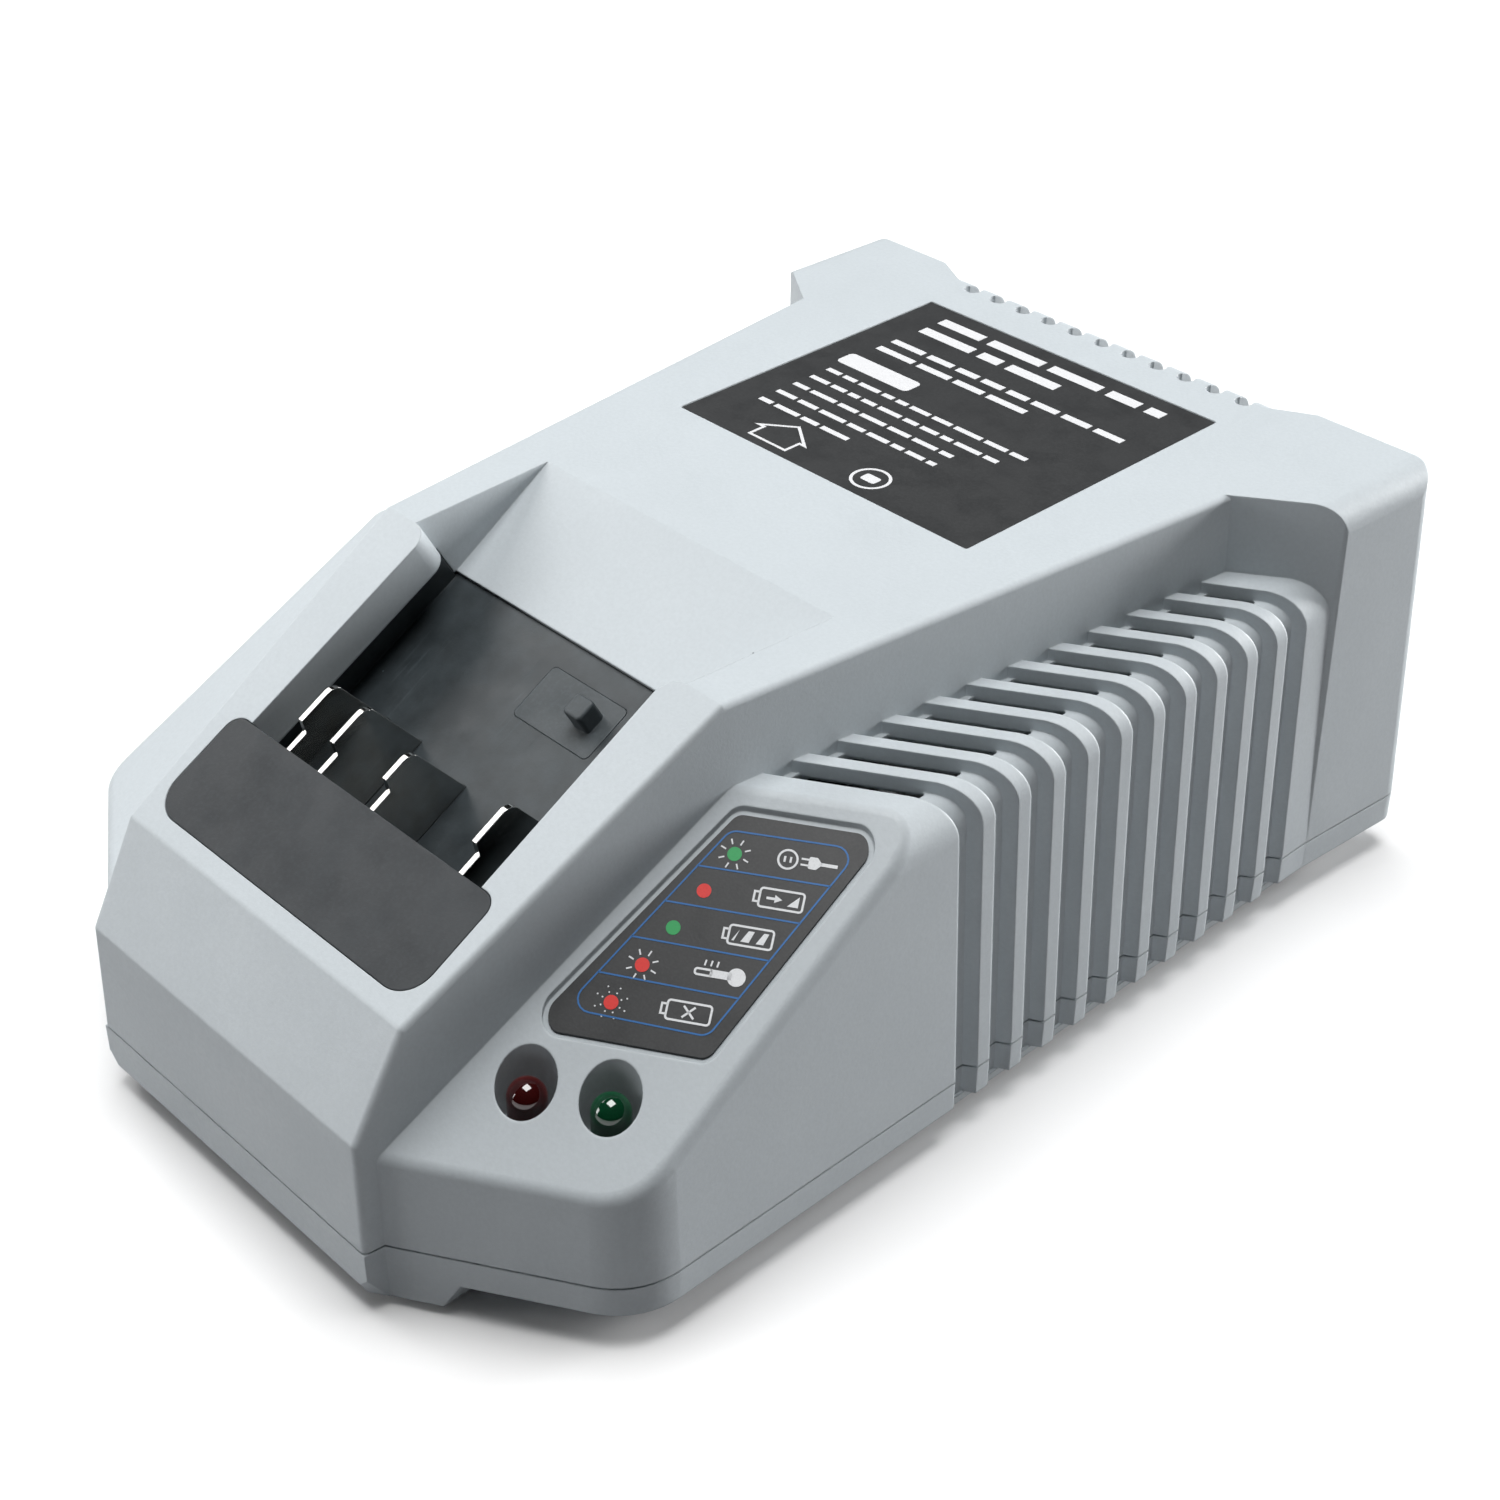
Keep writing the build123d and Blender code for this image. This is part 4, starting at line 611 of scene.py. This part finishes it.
def row_spot(first, row):
    return (first[0] + ROW_STEP[0] * row, first[1] + ROW_STEP[1] * row)


def field_lines():
    """Blue rounded frame with a line between each two rows."""
    sheet = panel_print()
    top_left, top_right, low_right, low_left = FIELD_CORNERS
    sheet.stroke(rounded([low_left, low_right, top_right, top_left], FIELD_ROUND), FRAME_LINE, closed=True)
    for row in range(1, FIELD_ROWS):
        share = row / FIELD_ROWS
        sheet.bar(along(top_left, low_left, share), along(top_right, low_right, share), FRAME_LINE)
    sheet.finish("status_frame_print", ink("print_blue", linear(38, 104, 168)), "label_dark")


def lamp_marks(name, rows, finish):
    sheet = panel_print()
    for row in rows:
        sheet.disc(row_spot(FIRST_LAMP, row), LAMP_MARK)
    sheet.finish(name, finish, "label_dark")


def rays(sheet, middle, dotted):
    """Eight short rays, or two dots in place of each, round a lamp mark that blinks."""
    for k in range(8):
        angle = math.pi / 8 + k * math.pi / 4
        arm = Vector((math.cos(angle), math.sin(angle)))
        start, end = Vector(middle) + arm * RAY_START, Vector(middle) + arm * RAY_END
        if dotted:
            sheet.disc(start, LINE * 0.42, 8)
            sheet.disc(end, LINE * 0.42, 8)
        else:
            sheet.bar(start, end, LINE * 0.72)


def battery(sheet, middle):
    """Outline of a battery lying on its side, its terminal to the left."""
    x, y = middle
    sheet.stroke(rounded(box_outline((x, y), 5.3, 2.3), 0.35, 3), LINE, closed=True)
    sheet.stroke([(x - 2.7, y - 0.6), (x - 3.3, y - 0.6), (x - 3.3, y + 0.6), (x - 2.7, y + 0.6)], LINE)


def socket_sign(sheet, middle):
    """A socket face and a plug with its lead."""
    x, y = middle
    sheet.stroke(circle((x - 2.9, y), 1.15), LINE, closed=True)
    for side in (-0.36, 0.36):
        sheet.bar((x - 2.9 + side, y - 0.36), (x - 2.9 + side, y + 0.36), LINE)
        sheet.bar((x - 1.3, y + side), (x - 0.3, y + side), LINE * 0.9)
    plug = [(x - 0.4, y - 0.75), (x + 0.6, y - 0.75), (x + 1.3, y), (x + 0.6, y + 0.75), (x - 0.4, y + 0.75)]
    sheet.patch(rounded(plug, 0.25, 3))
    sheet.bar((x + 1.1, y), (x + 3.1, y), LINE * 1.6)


def charging_sign(sheet, middle):
    """A battery with an arrow and a rising wedge."""
    x, y = middle
    battery(sheet, middle)
    sheet.bar((x - 1.8, y), (x - 0.7, y), LINE * 1.2)
    sheet.patch([(x - 0.8, y - 0.5), (x + 0.1, y), (x - 0.8, y + 0.5)])
    sheet.patch([(x + 0.8, y - 0.65), (x + 2.1, y - 0.65), (x + 2.1, y + 0.7)])


def full_sign(sheet, middle):
    """A battery filled with slanted bars."""
    x, y = middle
    battery(sheet, middle)
    lean = 0.75
    for low, high in ((-2.2, -1.45), (-1.1, 0.35), (0.75, 2.1)):
        base = [(x + low, y - 0.7), (x + high - lean + 0.3, y - 0.7)]
        sheet.patch([*base, (x + high, y + 0.7), (x + low + lean, y + 0.7)])


def warm_sign(sheet, middle):
    """A thermometer lying on its side under three short wisps."""
    x, y = middle
    sheet.disc((x + 2.0, y), 1.1)
    sheet.bar((x - 1.2, y), (x + 1.4, y), 0.95)
    sheet.stroke(rounded(box_outline((x - 2.0, y), 2.0, 0.72), 0.3, 4), LINE, closed=True)
    for k in range(3):
        sheet.bar((x - 2.0 + k * 0.75, y + 0.8), (x - 1.9 + k * 0.75, y + 1.5), LINE * 0.8)


def fault_sign(sheet, middle):
    """A battery with a cross in it."""
    x, y = middle
    battery(sheet, middle)
    sheet.bar((x - 0.7, y - 0.7), (x + 0.7, y + 0.7), LINE)
    sheet.bar((x - 0.7, y + 0.7), (x + 0.7, y - 0.7), LINE)


def status_signs():
    sheet = panel_print()
    signs = (socket_sign, charging_sign, full_sign, warm_sign, fault_sign)
    for row, sign in enumerate(signs):
        sign(sheet, row_spot(FIRST_SIGN, row))
    for row, dotted in ((0, False), (3, False), (4, True)):
        rays(sheet, row_spot(FIRST_LAMP, row), dotted)
    sheet.finish("status_signs_print", ink("print_white", linear(226, 228, 230)), "label_dark")


def rating_lines():
    """Plain white rules in place of rating data, an empty rounded field, a house and a ring."""
    across, up = Vector((1.0, 0.0, 0.0)), Vector((0.0, 1.0, 0.0))
    sheet = Print(Vector((0.0, 0.0, RATING_TOP)), across, up, RATING_INK)
    chance = np.random.default_rng(7)
    for y, start, end, width in RULES:
        x = start
        while x < end - width:
            stop = min(end, x + width * chance.uniform(*RULE_LENGTHS))
            sheet.bar((x, y), (stop, y), width)
            x = stop + width * RULE_GAP
    sheet.patch(rounded(box_outline(EMPTY_FIELD, 14.0, 3.6), 0.8, 4))
    roof = [(-7.0, 106.2), (-11.5, 109.6), (-16.0, 106.2)]
    house = [(-15.0, 103.4), (-8.0, 103.4), (-8.0, 106.2), *roof, (-15.0, 106.2)]
    sheet.stroke(house, RATING_LINE, closed=True)
    sheet.stroke(circle(RING, 2.7, 36), RATING_LINE, closed=True)
    sheet.patch(rounded(box_outline(RING, 2.6, 1.8), 0.4, 3))
    sheet.finish("rating_rules_print", ink("print_rules", linear(214, 215, 217)), "label_dark")


field_lines()
lamp_marks("lamp_marks_green_print", (0, 2), ink("print_green", linear(40, 160, 88)))
lamp_marks("lamp_marks_red_print", (1, 3, 4), ink("print_red", linear(222, 48, 42)))
status_signs()
rating_lines()


# ================================================================ floor, light and camera

FLOOR_HALF = 4.0            # metres
FLOOR_SEEN = (0.90, 0.90, 0.90, 1.0)        # its colour to the camera and in reflections
FLOOR_BOUNCE = (0.22, 0.22, 0.23, 1.0)      # its colour to all other light
ROOM_COLOUR = (0.97, 0.99, 1.0, 1.0)
ROOM_LOW = 0.01             # strength of the room's light at the horizon and straight above
ROOM_HIGH = 0.04
LAMP_AIM = Vector((0.0, 0.0, 0.03))
LAMP_DISTANCE = 1.0
LAMPS = (                   # name, turn about Z and rise in degrees, width in metres, power
    ("overhead", 0.0, 90.0, 0.60, 10.5),
    ("high_left", 184.0, 36.0, 0.60, 4.2),
    ("front_left", 232.0, 14.0, 0.40, 3.1),
    ("rear_right", 70.0, 11.0, 0.30, 11.5),
)


def add_floor():
    """Pale floor whose lit part reads as plain white and which keeps the object's shadow."""
    mesh = bpy.data.meshes.new("floor")
    corners = ((-1, -1), (1, -1), (1, 1), (-1, 1))
    mesh.from_pydata([(x * FLOOR_HALF, y * FLOOR_HALF, 0) for x, y in corners], [], [(0, 1, 2, 3)])
    floor = bpy.data.objects.new("floor", mesh)
    bpy.context.scene.collection.objects.link(floor)
    f = Finish("floor", FLOOR_BOUNCE, 0.85)
    f.shade(f.span(f.noise(40, 2), 0.3, 0.7), 0.95)
    ray = f.node("ShaderNodeLightPath")
    f.tint(ray.outputs["Is Glossy Ray"], FLOOR_SEEN)
    f.tint(ray.outputs["Is Camera Ray"], FLOOR_SEEN)
    mesh.materials.append(f.done())


def add_world():
    """Faint room light, stronger overhead than at the horizon, and white where the camera sees it."""
    world = bpy.data.worlds.new("studio")
    world.use_nodes = True
    tree = world.node_tree
    lit = tree.nodes["Background"]
    direction = tree.nodes.new("ShaderNodeTexCoord")
    parts = tree.nodes.new("ShaderNodeSeparateXYZ")
    rise = tree.nodes.new("ShaderNodeMapRange")
    rise.inputs["From Min"].default_value = 0.0
    rise.inputs["From Max"].default_value = 1.0
    rise.inputs["To Min"].default_value = ROOM_LOW
    rise.inputs["To Max"].default_value = ROOM_HIGH
    tree.links.new(direction.outputs["Generated"], parts.inputs["Vector"])
    tree.links.new(parts.outputs["Z"], rise.inputs["Value"])
    tree.links.new(rise.outputs["Result"], lit.inputs["Strength"])
    lit.inputs["Color"].default_value = ROOM_COLOUR
    seen = tree.nodes.new("ShaderNodeLightPath")
    white = tree.nodes.new("ShaderNodeBackground")
    white.inputs["Strength"].default_value = 1.0
    mix = tree.nodes.new("ShaderNodeMixShader")
    tree.links.new(seen.outputs["Is Camera Ray"], mix.inputs[0])
    tree.links.new(lit.outputs["Background"], mix.inputs[1])
    tree.links.new(white.outputs["Background"], mix.inputs[2])
    tree.links.new(mix.outputs["Shader"], tree.nodes["World Output"].inputs["Surface"])
    bpy.context.scene.world = world


def add_area(name, turn, rise, size, power):
    """Square soft lamp on a sphere round the object, shining towards its middle."""
    data = bpy.data.lights.new(name, "AREA")
    data.size = size
    data.energy = power
    lamp = bpy.data.objects.new(name, data)
    turn, rise = math.radians(turn), math.radians(rise)
    out = Vector((math.cos(rise) * math.cos(turn), math.cos(rise) * math.sin(turn), math.sin(rise)))
    facing = (-out).to_track_quat("-Z", "Y").to_matrix().to_4x4()
    lamp.matrix_world = Matrix.Translation(LAMP_AIM + out * LAMP_DISTANCE) @ facing
    bpy.context.scene.collection.objects.link(lamp)


def add_camera():
    """Camera placed by its turn about Z, its look down and a small roll."""
    data = bpy.data.cameras.new("camera")
    data.lens = LENS
    data.sensor_width = SENSOR_WIDTH
    data.clip_start = NEAREST
    camera = bpy.data.objects.new("camera", data)
    turn = (
        Matrix.Rotation(CAMERA_TURN, 4, "Z")
        @ Matrix.Rotation(math.pi / 2 - CAMERA_DROP, 4, "X")
        @ Matrix.Rotation(CAMERA_ROLL, 4, "Z")
    )
    camera.matrix_world = Matrix.Translation(CAMERA_AT) @ turn
    bpy.context.scene.collection.objects.link(camera)
    bpy.context.scene.camera = camera


bpy.context.scene.view_settings.view_transform = "Standard"
add_camera()
add_floor()
add_world()
for lamp in LAMPS:
    add_area(*lamp)
